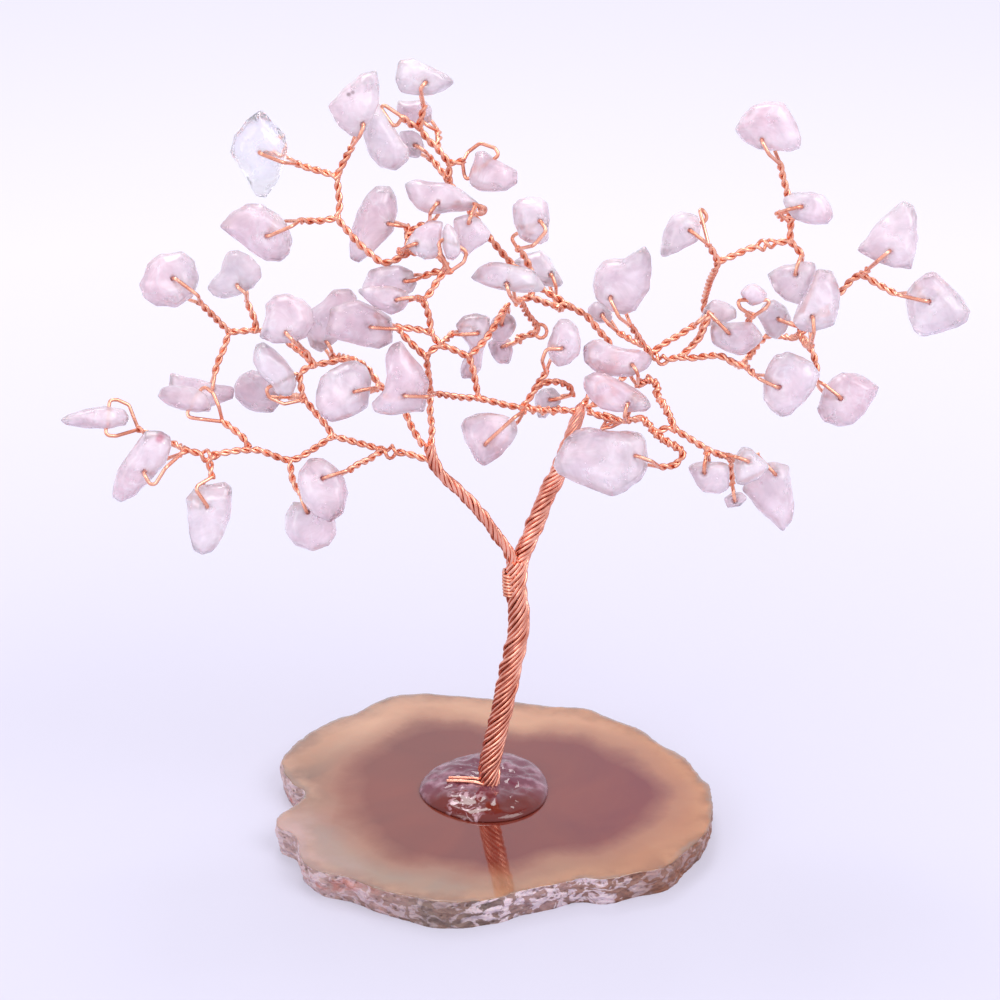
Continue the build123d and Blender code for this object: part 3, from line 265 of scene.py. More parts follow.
CHIP_SHARES["left_rise"] = dict(
    left_07=(28, 0.95, 8, 6, (253,352, 256,344, 264,343, 274,350, 286,361, 294,371, 296,384,
        292,394, 287,396, 277,393, 270,383, 258,372, 253,362), (294,374, 271,386), (303,398,28,
        302,400,28), (), (270,398,0, 284,404,0)),
    left_11=(84, 0.85, -10, 6, (234,386, 241,375, 252,368, 264,373, 276,387, 281,402, 273,413,
        258,413, 243,406, 234,397), (270,395), (303,398,28, 296,396,56, 289,397,80)),
    left_12=(28, 1.1, -10, -6, (259,337, 265,318, 266,305, 275,296, 289,294, 302,299, 311,308,
        314,324, 306,337, 290,343, 272,343), (288,334), (314,365,34, 309,358,31, 305,351,28)),
    left_13=(72, 1.0, 12, 4, (308,311, 322,303, 334,290, 350,289, 357,298, 352,318, 342,336,
        332,345, 321,352, 311,347, 305,330), (324,341), (347,358,40, 339,356,56, 330,356,70)),
    left_14=(0, 1.05, 14, -8, (317,390, 321,378, 331,370, 345,362, 356,361, 366,367, 371,379,
        370,393, 367,407, 352,417, 333,422, 321,417, 316,405), (351,394), (379,384,22, 379,389,8)))
CHIP_SHARES["far_left"] = dict(
    left_08=(54, 1.0, -14, 8, (228,252, 238,251, 249,256, 260,267, 261,277, 254,288, 241,294,
        225,298, 213,296, 208,288, 212,281, 221,272, 224,261), (240,283), (256,330,60, 255,320,58,
        251,311,57, 247,302,56), (250,291,1)),
    left_09=(36, 1.15, 12, -6, (140,285, 148,264, 160,254, 182,252, 194,261, 199,278, 192,297,
        176,307, 157,306, 144,297), (170,280), (229,332,60, 216,319,50, 207,310,42, 200,303,38)),
    left_10=(50, 0.8, 6, -8, (170,373, 183,376, 198,380, 216,385, 234,388, 233,398, 223,402,
        205,408, 182,404, 168,392), (211,392), (229,332,60, 224,348,58, 218,362,54, 215,372,50)))
CHIP_SHARES["centre_cross"] = dict(
    left_15=(-32, 1.1, -8, 6, (372,404, 384,391, 388,374, 385,356, 392,345, 401,341, 409,352,
        421,367, 429,382, 427,402, 424,412, 409,412, 391,415, 374,412), (406,394), (478,398,5,
        465,398,-4, 450,396,-16, 437,394,-30)),
    centre_04=(0, 1.0, 8, 6, (553,327, 560,319, 569,320, 577,328, 580,341, 579,355, 570,364,
        557,367, 550,360, 548,346), (560,347), (522,408,10, 530,397,10, 536,387,7, 542,377,3,
        546,373,0), (540,359,0.9, 544,347,1)),
    centre_05=(38, 0.75, -10, 6, (536,394, 543,388, 553,388, 561,396, 561,403, 553,409, 546,419,
        538,418, 535,405), (551,399), (536,387,7, 547,382,12, 560,382,22, 571,388,34, 572,395,38)),
    centre_06=(-18, 0.95, -8, -6, (461,426, 465,419, 477,414, 490,413, 504,415, 515,421, 518,430,
        511,444, 501,455, 484,466, 476,460, 470,449, 464,438), (487,446), (522,408,10, 523,410,-8,
        524,411,-18)),
    centre_07=(26, 0.9, 10, 6, (455,324, 463,317, 477,313, 490,316, 489,334, 482,350, 480,370,
        472,379, 462,379, 461,371, 469,357, 473,348, 462,335), (476,332), (440,345,-4, 446,340,8,
        452,334,22)),
    centre_08=(52, 0.9, -8, 4, (492,318, 503,312, 513,317, 516,325, 511,336, 503,342, 494,340,
        490,329), (503,324), (469,357,0, 477,349,8, 486,339,14, 494,327,22, 502,313,36,
        508,306,50)))
CHIP_SHARES["centre_left"] = dict(
    left_16=(4, 1.1, 10, 8, (330,309, 344,303, 359,300, 378,309, 391,318, 393,331, 392,342,
        378,350, 360,345, 338,340, 326,331), (368,325), (398,327,0, 399,328,2)))
CHIP_SHARES["centre"] = dict(
    left_17=(8, 0.9, -8, 10, (361,290, 369,271, 383,267, 399,266, 413,272, 416,284, 412,292,
        395,296, 374,295), (406,279), (445,270,0, 434,272,4, 424,276,8)),
    left_18=(-34, 0.8, 8, -6, (357,290, 372,286, 393,287, 408,292, 409,301, 404,310, 391,314,
        374,306), (395,301), (423,300,-10, 417,298,-32)),
    top_13=(-38, 0.7, 6, 0, (447,223, 455,230, 461,242, 461,253, 454,261, 447,260, 443,247,
        443,232), (443,238, 461,248), (445,270,0, 447,271,-20, 450,271,-36), (437,246,0,
        443,264,0), (464,262,0)))
CHIP_SHARES["upper_left"] = dict(
    top_01=(-10, 1.1, 10, 8, (220,226, 232,212, 247,203, 262,204, 276,213, 289,227, 293,241,
        290,254, 281,262, 267,261, 250,250, 232,237), (264,234), (337,218,10, 320,221,8, 304,221,2,
        299,221,-8)),
    top_02=(26, 1.0, -12, 6, (231,152, 235,135, 246,121, 261,110, 274,124, 285,136, 287,150,
        283,168, 276,184, 266,198, 257,196, 249,182, 238,166), (262,151), (337,176,12, 320,171,16,
        306,167,22, 298,164,26)),
    top_03=(2, 1.1, 10, -8, (376,71, 362,74, 350,82, 339,94, 329,106, 334,118, 340,128, 350,136,
        361,136, 370,123, 378,104, 380,85), (361,126), (337,176,12, 342,165,10, 347,155,6,
        351,148,2)),
    top_09=(44, 1.15, 8, 6, (376,186, 367,196, 358,211, 353,228, 350,245, 351,259, 359,262,
        369,255, 383,242, 394,230, 397,214, 396,198, 390,187), (386,222), (405,254,14, 408,245,26,
        408,234,40, 407,226,44)),
    top_10=(32, 1.1, -8, -8, (404,184, 416,180, 432,182, 448,184, 464,191, 479,203, 477,208,
        466,210, 448,213, 430,214, 418,209, 410,199), (440,205), (408,234,40, 418,226,36,
        430,223,32)),
    top_11=(-6, 0.95, 8, -6, (415,229, 406,245, 414,253, 425,260, 436,257, 440,247, 441,234,
        443,222, 430,221), (415,245), (405,254,14, 401,252,4, 399,251,-6)))
CHIP_SHARES["top"] = dict(
    top_04=(34, 1.15, -10, 6, (368,98, 379,104, 388,117, 399,136, 409,149, 408,160, 396,170,
        381,167, 371,156, 365,141, 361,124), (377,103, 391,123), (419,127,50, 411,125,46,
        402,117,38)),
    top_05=(44, 1.0, 12, -6, (399,61, 413,59, 431,67, 446,75, 454,82, 445,90, 433,95, 415,94,
        400,92, 396,80), (423,84), (419,127,50, 421,117,49, 424,106,46), (416,90,1.15)),
    top_06=(86, 0.8, -8, 8, (397,100, 410,101, 424,100, 431,107, 431,121, 420,127, 406,125,
        397,115), (423,118), (437,148,53, 439,139,64, 438,131,78)),
    top_07=(80, 0.8, 10, -4, (400,132, 412,131, 421,136, 424,147, 419,157, 409,157, 401,146),
        (413,146), (449,182,60, 444,174,66, 436,164,76, 430,158,80)),
    top_08=(50, 1.05, -10, -6, (476,152, 484,151, 494,158, 504,164, 517,171, 517,183, 507,191,
        492,192, 479,191, 470,186, 469,178), (494,159, 472,176), (449,163,56, 456,162,54,
        463,161,52), (468,152,0, 480,143,0, 495,148,0), (464,174,0)),
    top_12=(0, 0.95, -6, 6, (454,219, 467,215, 479,219, 490,233, 487,241, 476,248, 467,257,
        459,250, 455,235), (470,222), (472,214,63, 483,212,44, 484,209,20, 475,206,4)))
CHIP_SHARES["upper_mid"] = dict(
    centre_01=(30, 1.1, 10, -4, (513,206, 519,199, 530,197, 541,197, 547,203, 549,220, 549,240,
        540,244, 528,242, 519,238, 515,224), (537,222), (531,297,30, 533,283,40, 530,268,40,
        524,256,36, 518,249,30), (530,247,1.1, 543,232,1.1), (514,236,-1.1)),
    centre_02=(10, 1.0, -6, 8, (471,278, 478,268, 490,263, 504,263, 521,266, 535,272, 544,286,
        543,291, 525,292, 504,290, 487,285, 474,281), (508,282), (520,300,24, 516,303,10)),
    centre_03=(88, 0.9, 8, -8, (512,262, 523,255, 540,251, 549,259, 557,272, 564,283, 560,287,
        545,286, 525,280), (549,276), (556,306,40, 561,310,56, 561,305,74, 556,299,86)),
    centre_09=(82, 0.75, 8, -6, (488,343, 499,337, 510,339, 513,351, 509,363, 499,363, 491,354),
        (501,348), (518,338,76, 519,341,80)))
CHIP_SHARES["upper_right"] = dict(
    right_01=(12, 1.1, -8, 6, (735,129, 741,117, 753,105, 768,102, 783,103, 790,112, 798,128,
        802,138, 800,148, 790,153, 776,151, 758,149, 743,140), (764,138), (790,241,14, 791,219,20,
        787,192,22, 782,174,18, 780,164,13)),
    right_02=(-4, 0.9, 10, -6, (783,199, 793,193, 810,192, 823,196, 830,206, 834,217, 828,225,
        808,223, 794,218, 787,209), (800,208), (791,219,20, 782,219,10, 778,213,-4)),
    right_03=(-8, 1.0, 12, 6, (660,248, 665,230, 673,216, 681,212, 690,213, 698,217, 700,228,
        698,240, 690,245, 676,252, 662,257), (687,229), (718,262,0, 714,254,-4, 709,246,-8), (),
        (714,222,-1, 702,205,-1.1)),
    right_10=(14, 0.9, -8, 8, (767,274, 785,265, 802,262, 814,263, 816,272, 811,289, 806,303,
        797,305, 785,300, 775,291), (797,273), (790,241,14, 796,248,14, 802,254,14)))
CHIP_SHARES["right"] = dict(
    right_04=(18, 1.15, -10, 6, (595,270, 604,261, 614,259, 625,259, 634,252, 645,246, 650,255,
        651,271, 649,289, 641,301, 636,310, 624,314, 610,310, 597,300, 593,286), (613,296),
        (651,353,38, 643,345,34, 636,334,26, 631,326,20)),
    right_07=(14, 1.05, 8, 6, (713,321, 726,323, 740,322, 752,323, 764,338, 757,345, 745,354,
        738,355, 725,351, 713,343, 710,331), (727,332), (680,357,28, 690,348,26, 700,337,20,
        705,325,14, 710,314,13)),
    right_08=(48, 0.7, -6, 8, (700,319, 703,307, 714,300, 726,303, 736,310, 736,318, 722,324,
        708,326), (709,313), (651,353,38, 667,342,42, 681,334,46, 693,326,48)),
    right_12=(-14, 1.1, -10, 6, (775,354, 787,352, 800,357, 813,362, 820,374, 815,387, 802,404,
        792,415, 782,417, 772,411, 764,399, 764,380, 768,365), (781,386), (747,367,4, 751,371,-6,
        755,375,-12)),
    right_21=(70, 0.75, -6, 6, (588,309, 595,302, 605,304, 613,312, 611,321, 600,323, 590,317),
        (603,314), (643,345,34, 632,340,52, 618,332,68)))
CHIP_SHARES["right_outer"] = dict(
    right_05=(-2, 1.05, 8, -8, (857,250, 865,240, 876,225, 890,211, 904,201, 913,206, 918,216,
        916,232, 918,240, 916,253, 911,269, 893,267, 879,262), (888,253), (861,274,6, 867,270,-2)),
    right_06=(-6, 1.15, -12, 6, (935,272, 925,273, 914,281, 908,291, 906,303, 909,318, 914,331,
        923,336, 937,333, 956,328, 967,322, 972,311, 964,301, 950,287), (932,300), (861,274,6,
        874,282,4, 887,289,-2, 896,294,-6)),
    right_09=(-16, 0.85, 8, -6, (740,292, 747,286, 755,284, 762,289, 767,295, 762,303, 752,305,
        744,300), (744,300, 764,300), (750,356,48, 750,338,46, 748,314,28, 753,316,-14),
        (740,308,0), (766,308,0)),
    right_11=(-20, 1.05, 6, -6, (818,269, 832,271, 837,283, 840,295, 838,310, 834,325, 824,329,
        810,332, 799,330, 793,322, 797,308, 808,290), (811,318), (800,334,32, 806,345,10,
        811,346,-16)),
    right_13=(24, 1.1, 8, -6, (824,388, 832,378, 842,372, 856,374, 869,379, 879,387, 875,396,
        864,414, 852,424, 838,426, 824,421, 817,409), (839,400), (800,334,32, 808,344,32,
        814,356,30, 817,370,28, 815,380,26)),
    right_22=(48, 0.9, 8, 6, (756,316, 764,304, 774,300, 785,307, 791,318, 786,331, 776,340,
        768,336, 764,326), (777,318), (800,334,32, 801,331,44, 800,327,48)))
CHIP_SHARES["lower_right"] = dict(
    right_14=(-16, 0.85, 8, -6, (736,455, 742,447, 751,449, 761,458, 769,467, 759,479, 744,486,
        736,484, 734,471), (747,463), (721,455,-12, 727,456,-14)),
    right_15=(-16, 0.9, -8, 6, (688,467, 694,463, 706,462, 720,462, 728,465, 730,476, 729,488,
        720,493, 704,492, 696,483), (706,472), (708,450,-14, 707,453,-15)),
    right_16=(32, 0.95, 8, 8, (764,464, 775,462, 789,466, 790,482, 794,505, 792,521, 783,531,
        776,526, 758,510, 742,489, 752,474), (774,473), (721,455,-12, 730,457,8, 744,460,22,
        758,456,30)),
    right_17=(14, 0.6, 0, 6, (723,498, 732,492, 741,492, 747,498, 740,506, 728,507), (735,500),
        (730,457,8, 731,470,12, 732,483,14)),
    right_18=(-34, 1.35, 6, -4, (576,430, 588,427, 607,430, 625,431, 640,433, 647,440, 648,455,
        647,470, 641,480, 626,491, 612,496, 592,489, 573,481, 559,475, 554,466, 557,454, 565,440),
        (633,457), (675,465,-26, 667,467,-30, 660,467,-34)),
    right_19=(-36, 1.15, -8, 6, (584,377, 594,371, 605,373, 622,382, 636,390, 647,397, 652,406,
        646,411, 633,412, 615,411, 601,408, 590,399, 583,388), (630,402), (641,418,-13,
        634,420,-26, 626,421,-36)),
    right_20=(6, 1.1, 8, -8, (584,347, 592,340, 600,340, 610,346, 623,350, 639,351, 649,354,
        652,360, 647,368, 632,376, 612,376, 594,371, 583,362), (630,367), (648,378,0, 644,382,2,
        638,386,4)))

AHEAD = Vector((0, cos(radians(VIEW_DROP_DEG)), -sin(radians(VIEW_DROP_DEG))))
ABOVE = Vector((0, sin(radians(VIEW_DROP_DEG)), cos(radians(VIEW_DROP_DEG))))
SIDE = Vector((1, 0, 0))


def up(height):
    return Vector((0, 0, height))


def pairs(flat):
    return list(zip(flat[::2], flat[1::2]))


def trios(flat):
    return list(zip(flat[::3], flat[1::3], flat[2::3]))


def sight(across, down):
    """Line of sight through a place of the view, as far as the plane that the eye is aimed at."""
    aside = SIDE * (across / 1000 - 0.5) * VIEW_SPAN
    return AHEAD * VIEW_DISTANCE + aside + ABOVE * (0.5 - down / 1000) * VIEW_SPAN


FOOT_SIGHT = sight(*FOOT_SHARES)
EYE_Y = -VIEW_DISTANCE * cos(radians(VIEW_DROP_DEG))
EYE = up(SLICE_T) - FOOT_SIGHT * (-EYE_Y / FOOT_SIGHT.y)


def place(across, down, back):
    line = sight(across, down)
    return EYE + line * ((back / 1000 * VIEW_SPAN - EYE.y) / line.y)


def places(flat):
    return [place(*trio) for trio in trios(flat)]


def on_plane(across, down, origin, normal):
    line = sight(across, down)
    return EYE + line * ((origin - EYE).dot(normal) / line.dot(normal))


def on_level(across, down, height):
    return on_plane(across, down, up(height), up(1))


def middle(points):
    return sum(points, up(0)) / len(points)


def turned(vector, axis, deg):
    return Matrix.Rotation(radians(deg), 3, axis) @ vector


# Paths of wire

def arc(corner, before, after, radius):
    """Points of the bend at a corner between two runs."""
    a = (before - corner).normalized()
    b = (after - corner).normalized()
    half = a.angle(b) / 2
    heart = corner + (a + b).normalized() * (radius / sin(half))
    start = corner + a * (radius / tan(half)) - heart
    stop = corner + b * (radius / tan(half)) - heart
    turn = start.angle(stop)
    shares = [k / BEND_STEPS for k in range(BEND_STEPS + 1)]
    return [heart + (start * sin(turn * (1 - t)) + stop * sin(turn * t)) / sin(turn)
            for t in shares]


def rounded(points, bend_r):
    """Points along straight runs joined by bends, each as large as its runs and bend_r allow."""
    path = [points[0]]
    kept = points[0]
    for corner, after in zip(points[1:], points[2:]):
        run_in = corner - kept
        run_out = after - corner
        turn = run_in.angle(run_out)
        if degrees(turn) < STRAIGHT_DEG:
            continue
        room = BEND_RUN_SHARE * min(run_in.length, run_out.length) / tan(turn / 2)
        path += arc(corner, kept, after, min(bend_r, room))
        kept = corner
    return path + [points[-1]]


def spaced(points, step):
    """The same path with its points a step apart."""
    out = [points[0]]
    left = step
    for a, b in zip(points, points[1:]):
        length = (b - a).length
        at = left
        while at < length:
            out.append(a.lerp(b, at / length))
            at += step
        left = at - length
    if (out[-1] - points[-1]).length < step / 2 and len(out) > 1:
        out.pop()
    return out + [points[-1]]


def frames(path):
    """Point, and two directions across the path that don't spin about it, at each point."""
    out = []
    across = None
    for i, point in enumerate(path):
        ahead = (path[min(i + 1, len(path) - 1)] - path[max(i - 1, 0)]).normalized()
        if across is None:
            across = ahead.orthogonal().normalized()
        across = (across - ahead * across.dot(ahead)).normalized()
        out.append((point, across, ahead.cross(across)))
    return out


def wound(path, radius, pitch, phase, wander, rough=0.0, seed=0.0, eyes=(), taper=None):
    """A strand wound about a path. It stands off at the eyes, and draws in where it tapers."""
    line = []
    run = 0
    last = path[0]
    whole = sum((b - a).length for a, b in zip(path, path[1:]))
    for point, u, v in frames(path):
        run += (point - last).length
        last = point
        drift = noise.noise(Vector((seed, run / WANDER_RUN, phase)))
        angle = phase + 2 * pi * run / pitch + wander * drift
        reach = radius + rough * noise.noise(Vector((run / ROUGH_RUN, seed, phase)))
        if taper:
            left = whole - run
            reach *= min(1, TAPER_SHARE + (1 - TAPER_SHARE) * left / taper,
                         left / TIP_RUN + TIP_SHARE)
        for eye in eyes:
            off = (point - EYE).cross(eye).length
            if off < 3 * EYE_HALF_RUN:
                reach += EYE_SPREAD * exp(-(off / EYE_HALF_RUN) ** 2)
        line.append(point + (u * cos(angle) + v * sin(angle)) * reach)
    return line


def added(name, data):
    thing = bpy.data.objects.new(name, data)
    bpy.context.scene.collection.objects.link(thing)
    return thing


def strands(name, lines, diameter, material, body="tree"):
    """One piece of many wires: lines are lists of points."""
    curve = bpy.data.curves.new(name, "CURVE")
    curve.dimensions = "3D"
    curve.bevel_depth = diameter / 2
    curve.bevel_resolution = 3
    curve.use_fill_caps = True
    for line in lines:
        spline = curve.splines.new("POLY")
        spline.points.add(len(line) - 1)
        for spot, point in zip(spline.points, line):
            spot.co = (*point, 1)
    curve.materials.append(material)
    piece = added(name, curve)
    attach(piece, body)
    return piece


def mesh_piece(name, mesh, material, body="tree"):
    mesh.materials.clear()
    mesh.materials.append(material)
    mesh.polygons.foreach_set("use_smooth", [True] * len(mesh.polygons))
    piece = added(name, mesh)
    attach(piece, body)
    return piece


class ChipPlan:
    """Places of one chip: its middle plane, its outline, its hole, its twig and its loop."""

    def __init__(self, back, thick, turn, lean, edge, hole, twig, out=(), home=()):
        across, down = (sum(way) / len(way) for way in (edge[::2], edge[1::2]))
        self.centre = place(across, down, back)
        facing = (EYE - self.centre).normalized()
        self.normal = turned(turned(facing, "Z", turn), "X", lean)
        self.edge = [self.at(*p) for p in pairs(edge)]
        self.leg_lift = CHIP_T * thick / 2 + LEG_GAP + WIRE_D / 2
        self.twig = places(twig)
        self.closing = self.twig[-1]
        holes = [self.at(*p) for p in pairs(hole)]
        self.bore_mid = middle(holes)
        if len(holes) == 1:
            bore_axis = self.normal
            reach = self.leg_lift
        else:
            bore_axis = (holes[0] - holes[1]).normalized()
            reach = (holes[0] - holes[1]).length / 2 + LOOP_BEND_R + LEG_GAP
        self.aside = bore_axis * (LOOP_SPREAD / 2)
        self.mouths = [self.bore_mid + bore_axis * reach, self.bore_mid - bore_axis * reach]
        self.out = [self.lifted(*p) for p in trios(out)]
        self.home = [self.lifted(*p) for p in trios(home)]
        if len(holes) == 1:
            self.out = self.out or [self.shoulder(1)]
            self.home = self.home or [self.shoulder(-1)]

    def at(self, across, down):
        return on_plane(across, down, self.centre, self.normal)

    def lifted(self, across, down, lift):
        return self.at(across, down) + self.normal * (lift * self.leg_lift)

    def shoulder(self, side):
        """Where a leg of the loop turns down past the chip's edge, towards the twig."""
        flat = self.closing - self.normal * (self.closing - self.centre).dot(self.normal)
        way = (flat - self.bore_mid).normalized()
        across = self.normal.cross(way)
        reach = 0
        for a, b in zip(self.edge, self.edge[1:] + self.edge[:1]):
            side_a = (a - self.bore_mid).dot(across)
            side_b = (b - self.bore_mid).dot(across)
            if side_a * side_b < 0:
                crossing = a + (b - a) * (side_a / (side_a - side_b))
                reach = max(reach, (crossing - self.bore_mid).dot(way))
        return self.bore_mid + way * (reach + EDGE_GAP) + self.normal * (side * self.leg_lift)

    def loop(self):
        points = [self.closing + self.aside, *self.out, *self.mouths, *self.home,
                  self.closing - self.aside]
        return spaced(rounded(points, LOOP_BEND_R), LOOP_STEP)


# Materials

def linear(colour):
    """A colour as a screen shows it, 0 to 255, in Blender's linear values."""
    return tuple(((c / 255 + 0.055) / 1.055) ** 2.4 if c > 10 else c / 255 / 12.92
                 for c in colour) + (1,)


class Nodes:
    """A material's node tree with short calls."""

    def __init__(self, name):
        self.material = bpy.data.materials.new(name)
        self.material.use_nodes = True
        self.tree = self.material.node_tree
        self.shader = self.tree.nodes["Principled BSDF"]
        self.output = self.tree.nodes["Material Output"]

    def add(self, kind, **inputs):
        node = self.tree.nodes.new("ShaderNode" + kind)
        for key, value in inputs.items():
            self.put(node, key.replace("_", " "), value)
        return node

    def put(self, node, key, value):
        socket = node.inputs[int(key)] if key.isdigit() else node.inputs[key]
        if isinstance(value, bpy.types.NodeSocket):
            self.tree.links.new(value, socket)
        else:
            socket.default_value = value

    def set(self, **values):
        for key, value in values.items():
            self.put(self.shader, key.replace("_", " "), value)

    def coords(self, scale=(1, 1, 1)):
        where = self.add("TexCoord").outputs["Object"]
        mapping = self.add("Mapping", Vector=where, Scale=scale)
        return mapping.outputs["Vector"]

    def axes(self, where=None):
        return self.add("SeparateXYZ", Vector=where or self.coords()).outputs

    def noise(self, scale, detail, vector=None, distortion=0.0):
        node = self.add("TexNoise", Scale=scale, Detail=detail, Distortion=distortion,
                        Vector=vector or self.coords())
        return node.outputs["Fac"]

    def ramp(self, factor, *stops):
        """Colours at their places along a factor: a plain number is an even share."""
        node = self.add("ValToRGB", Fac=factor)
        elements = node.color_ramp.elements
        while len(elements) < len(stops):
            elements.new(0.5)
        for element, (at, colour) in zip(elements, stops):
            element.position = at
            element.color = linear(colour) if type(colour) is tuple else (colour,) * 3 + (1,)
        return node.outputs["Color"]

    def grey(self, factor, at_low, at_high, low=0.0, high=1.0):
        """A factor spread from low to high between two of its values."""
        node = self.add("MapRange", Value=factor)
        for i, value in enumerate((at_low, at_high, low, high), 1):
            node.inputs[i].default_value = value
        return node.outputs["Result"]

    def two(self, kind, operation, a, b):
        node = self.add(kind)
        node.operation = operation
        self.put(node, "0", a)
        self.put(node, "1", b)
        return node

    def math(self, operation, a, b=0.0):
        return self.two("Math", operation, a, b).outputs[0]

    def times(self, a, b):
        return self.math("MULTIPLY", a, b)

    def vector(self, operation, a, b=(0, 0, 0)):
        node = self.two("VectorMath", operation, a, b)
        return node.outputs["Value" if operation == "LENGTH" else "Vector"]

    def mix(self, factor, a, b):
        node = self.add("Mix")
        node.data_type = "RGBA"
        self.put(node, "0", factor)
        for key, colour in (("6", a), ("7", b)):
            self.put(node, key, linear(colour) if type(colour) is tuple else colour)
        return node.outputs[2]

    def layers(self, base, *over):
        """Colours laid over a base one after another, each as far as its share covers."""
        for share, colour in over:
            base = self.mix(share, base, colour)
        return base

    def attribute(self, name):
        node = self.add("Attribute")
        node.attribute_name = name
        return node.outputs["Fac"]

    def bump(self, height, strength, distance):
        node = self.add("Bump", Height=height, Strength=strength, Distance=distance)
        self.put(self.shader, "Normal", node.outputs["Normal"])


def copper(name, bright, dark):
    m = Nodes(name)
    patches = m.noise(350, 4.0)
    colour = m.ramp(patches, (0.3, dark), (0.62, bright))
    m.set(Base_Color=colour, Metallic=1.0,
          Roughness=m.grey(m.noise(900, 2.0), 0.3, 0.7, 0.16, 0.34))
    m.bump(m.noise(2600, 2.0), 0.12, 0.04 * MM)
    return m.material


def quartz(name, pale, deep, cloudy, clear, spots=()):
    """Tumbled quartz: milky clouds and faint veils in a clear stone, pinker in places."""
    m = Nodes(name)
    cloud = m.noise(230, 4.0, distortion=0.6)
    veil = m.math("ABSOLUTE", m.math("SUBTRACT", m.noise(150, 3.0, distortion=0.8), 0.5))
    colour = m.layers(pale, (m.grey(m.noise(70, 2.0), 0.38, 0.62), deep),
                      (m.grey(cloud, 0.5, 0.75, 0, 0.6), (244, 236, 243)),
                      (m.grey(veil, 0.0, 0.012, 0.55, 0), (252, 247, 252)))
    for centre, axis, radius, shade in spots:
        off = m.vector("SUBTRACT", m.coords(), centre)
        away = m.vector("LENGTH", m.vector("CROSS_PRODUCT", off, axis))
        colour = m.mix(m.grey(away, radius * 0.4, radius, 0.85, 0), colour, shade)
    m.set(Base_Color=colour, Roughness=m.grey(m.noise(600, 3.0), 0.35, 0.7, 0.12, 0.3), IOR=1.5,
          Transmission_Weight=m.grey(cloud, 0.35, 0.65, clear, cloudy),
          Subsurface_Weight=0.5, Subsurface_Scale=3 * MM, Coat_Weight=0.12, Coat_Roughness=0.06)
    m.shader.inputs["Subsurface Radius"].default_value = (1.0, 0.75, 0.8)
    m.bump(m.noise(380, 2.5), 0.22, 0.25 * MM)
    return m.material


def agate_top():
    """Banded stone: a plum heart in a tan ring, paler towards the rind and the front left."""
    m = Nodes("agate_polished")
    at = m.axes()
    plum = m.math("ADD", m.attribute("plum_mm"), m.grey(m.noise(75, 5.0), 0.3, 0.7, -2.0, 2.0))
    depth = m.math("ADD", m.attribute("depth_mm"), m.grey(m.noise(190, 5.0), 0.3, 0.7, -1.0, 1.0))
    right = m.grey(at["X"], -22 * MM, 24 * MM)
    front = m.grey(at["Y"], -32 * MM, 12 * MM, 1, 0)
    back = m.grey(at["Y"], 4 * MM, 26 * MM)
    paler = m.times(front, m.math("SUBTRACT", 1.0, m.times(right, 0.9)))
    clouds = m.grey(m.noise(38, 5.0, distortion=1.4), 0.35, 0.7, 0, 0.6)
    blots = m.grey(m.noise(90, 6.0, distortion=0.8), 0.4, 0.7, 0, 0.45)
    milk = m.times(m.grey(at["X"], -32 * MM, -18 * MM, 1, 0),
                   m.grey(at["Y"], -14 * MM, -2 * MM, 1, 0))
    milk = m.times(milk, m.grey(m.noise(120, 5.0), 0.4, 0.6, 0.4, 1))
    outer = m.mix(m.grey(m.noise(170, 5.0), 0.42, 0.58),
                  m.mix(right, (176, 136, 112), (178, 122, 84)),
                  m.mix(right, (146, 108, 88), (150, 98, 64)))
    heart = m.layers((110, 50, 34), (right, (108, 26, 28)), (clouds, (130, 56, 36)))
    colour = m.layers(
        (112, 76, 58), (right, (166, 104, 64)),
        (back, m.mix(right, (200, 154, 124), (188, 134, 100))), (paler, (158, 136, 120)),
        (blots, (180, 128, 96)), (m.grey(depth, 4.0, 0.4), outer),
        (m.grey(depth, 1.1, 0.0, 0, 0.7), (136, 112, 100)), (milk, (186, 152, 148)),
        (m.grey(plum, -5.0, 1.0), (150, 96, 74)), (m.grey(plum, -1.4, 3.6), heart))
    m.set(Base_Color=colour, Roughness=0.06, IOR=1.54, Subsurface_Weight=0.15,
          Subsurface_Scale=3 * MM, Coat_Weight=0.35, Coat_Roughness=0.03)
    m.bump(m.noise(160, 2.0), 0.04, 0.2 * MM)
    return m.material


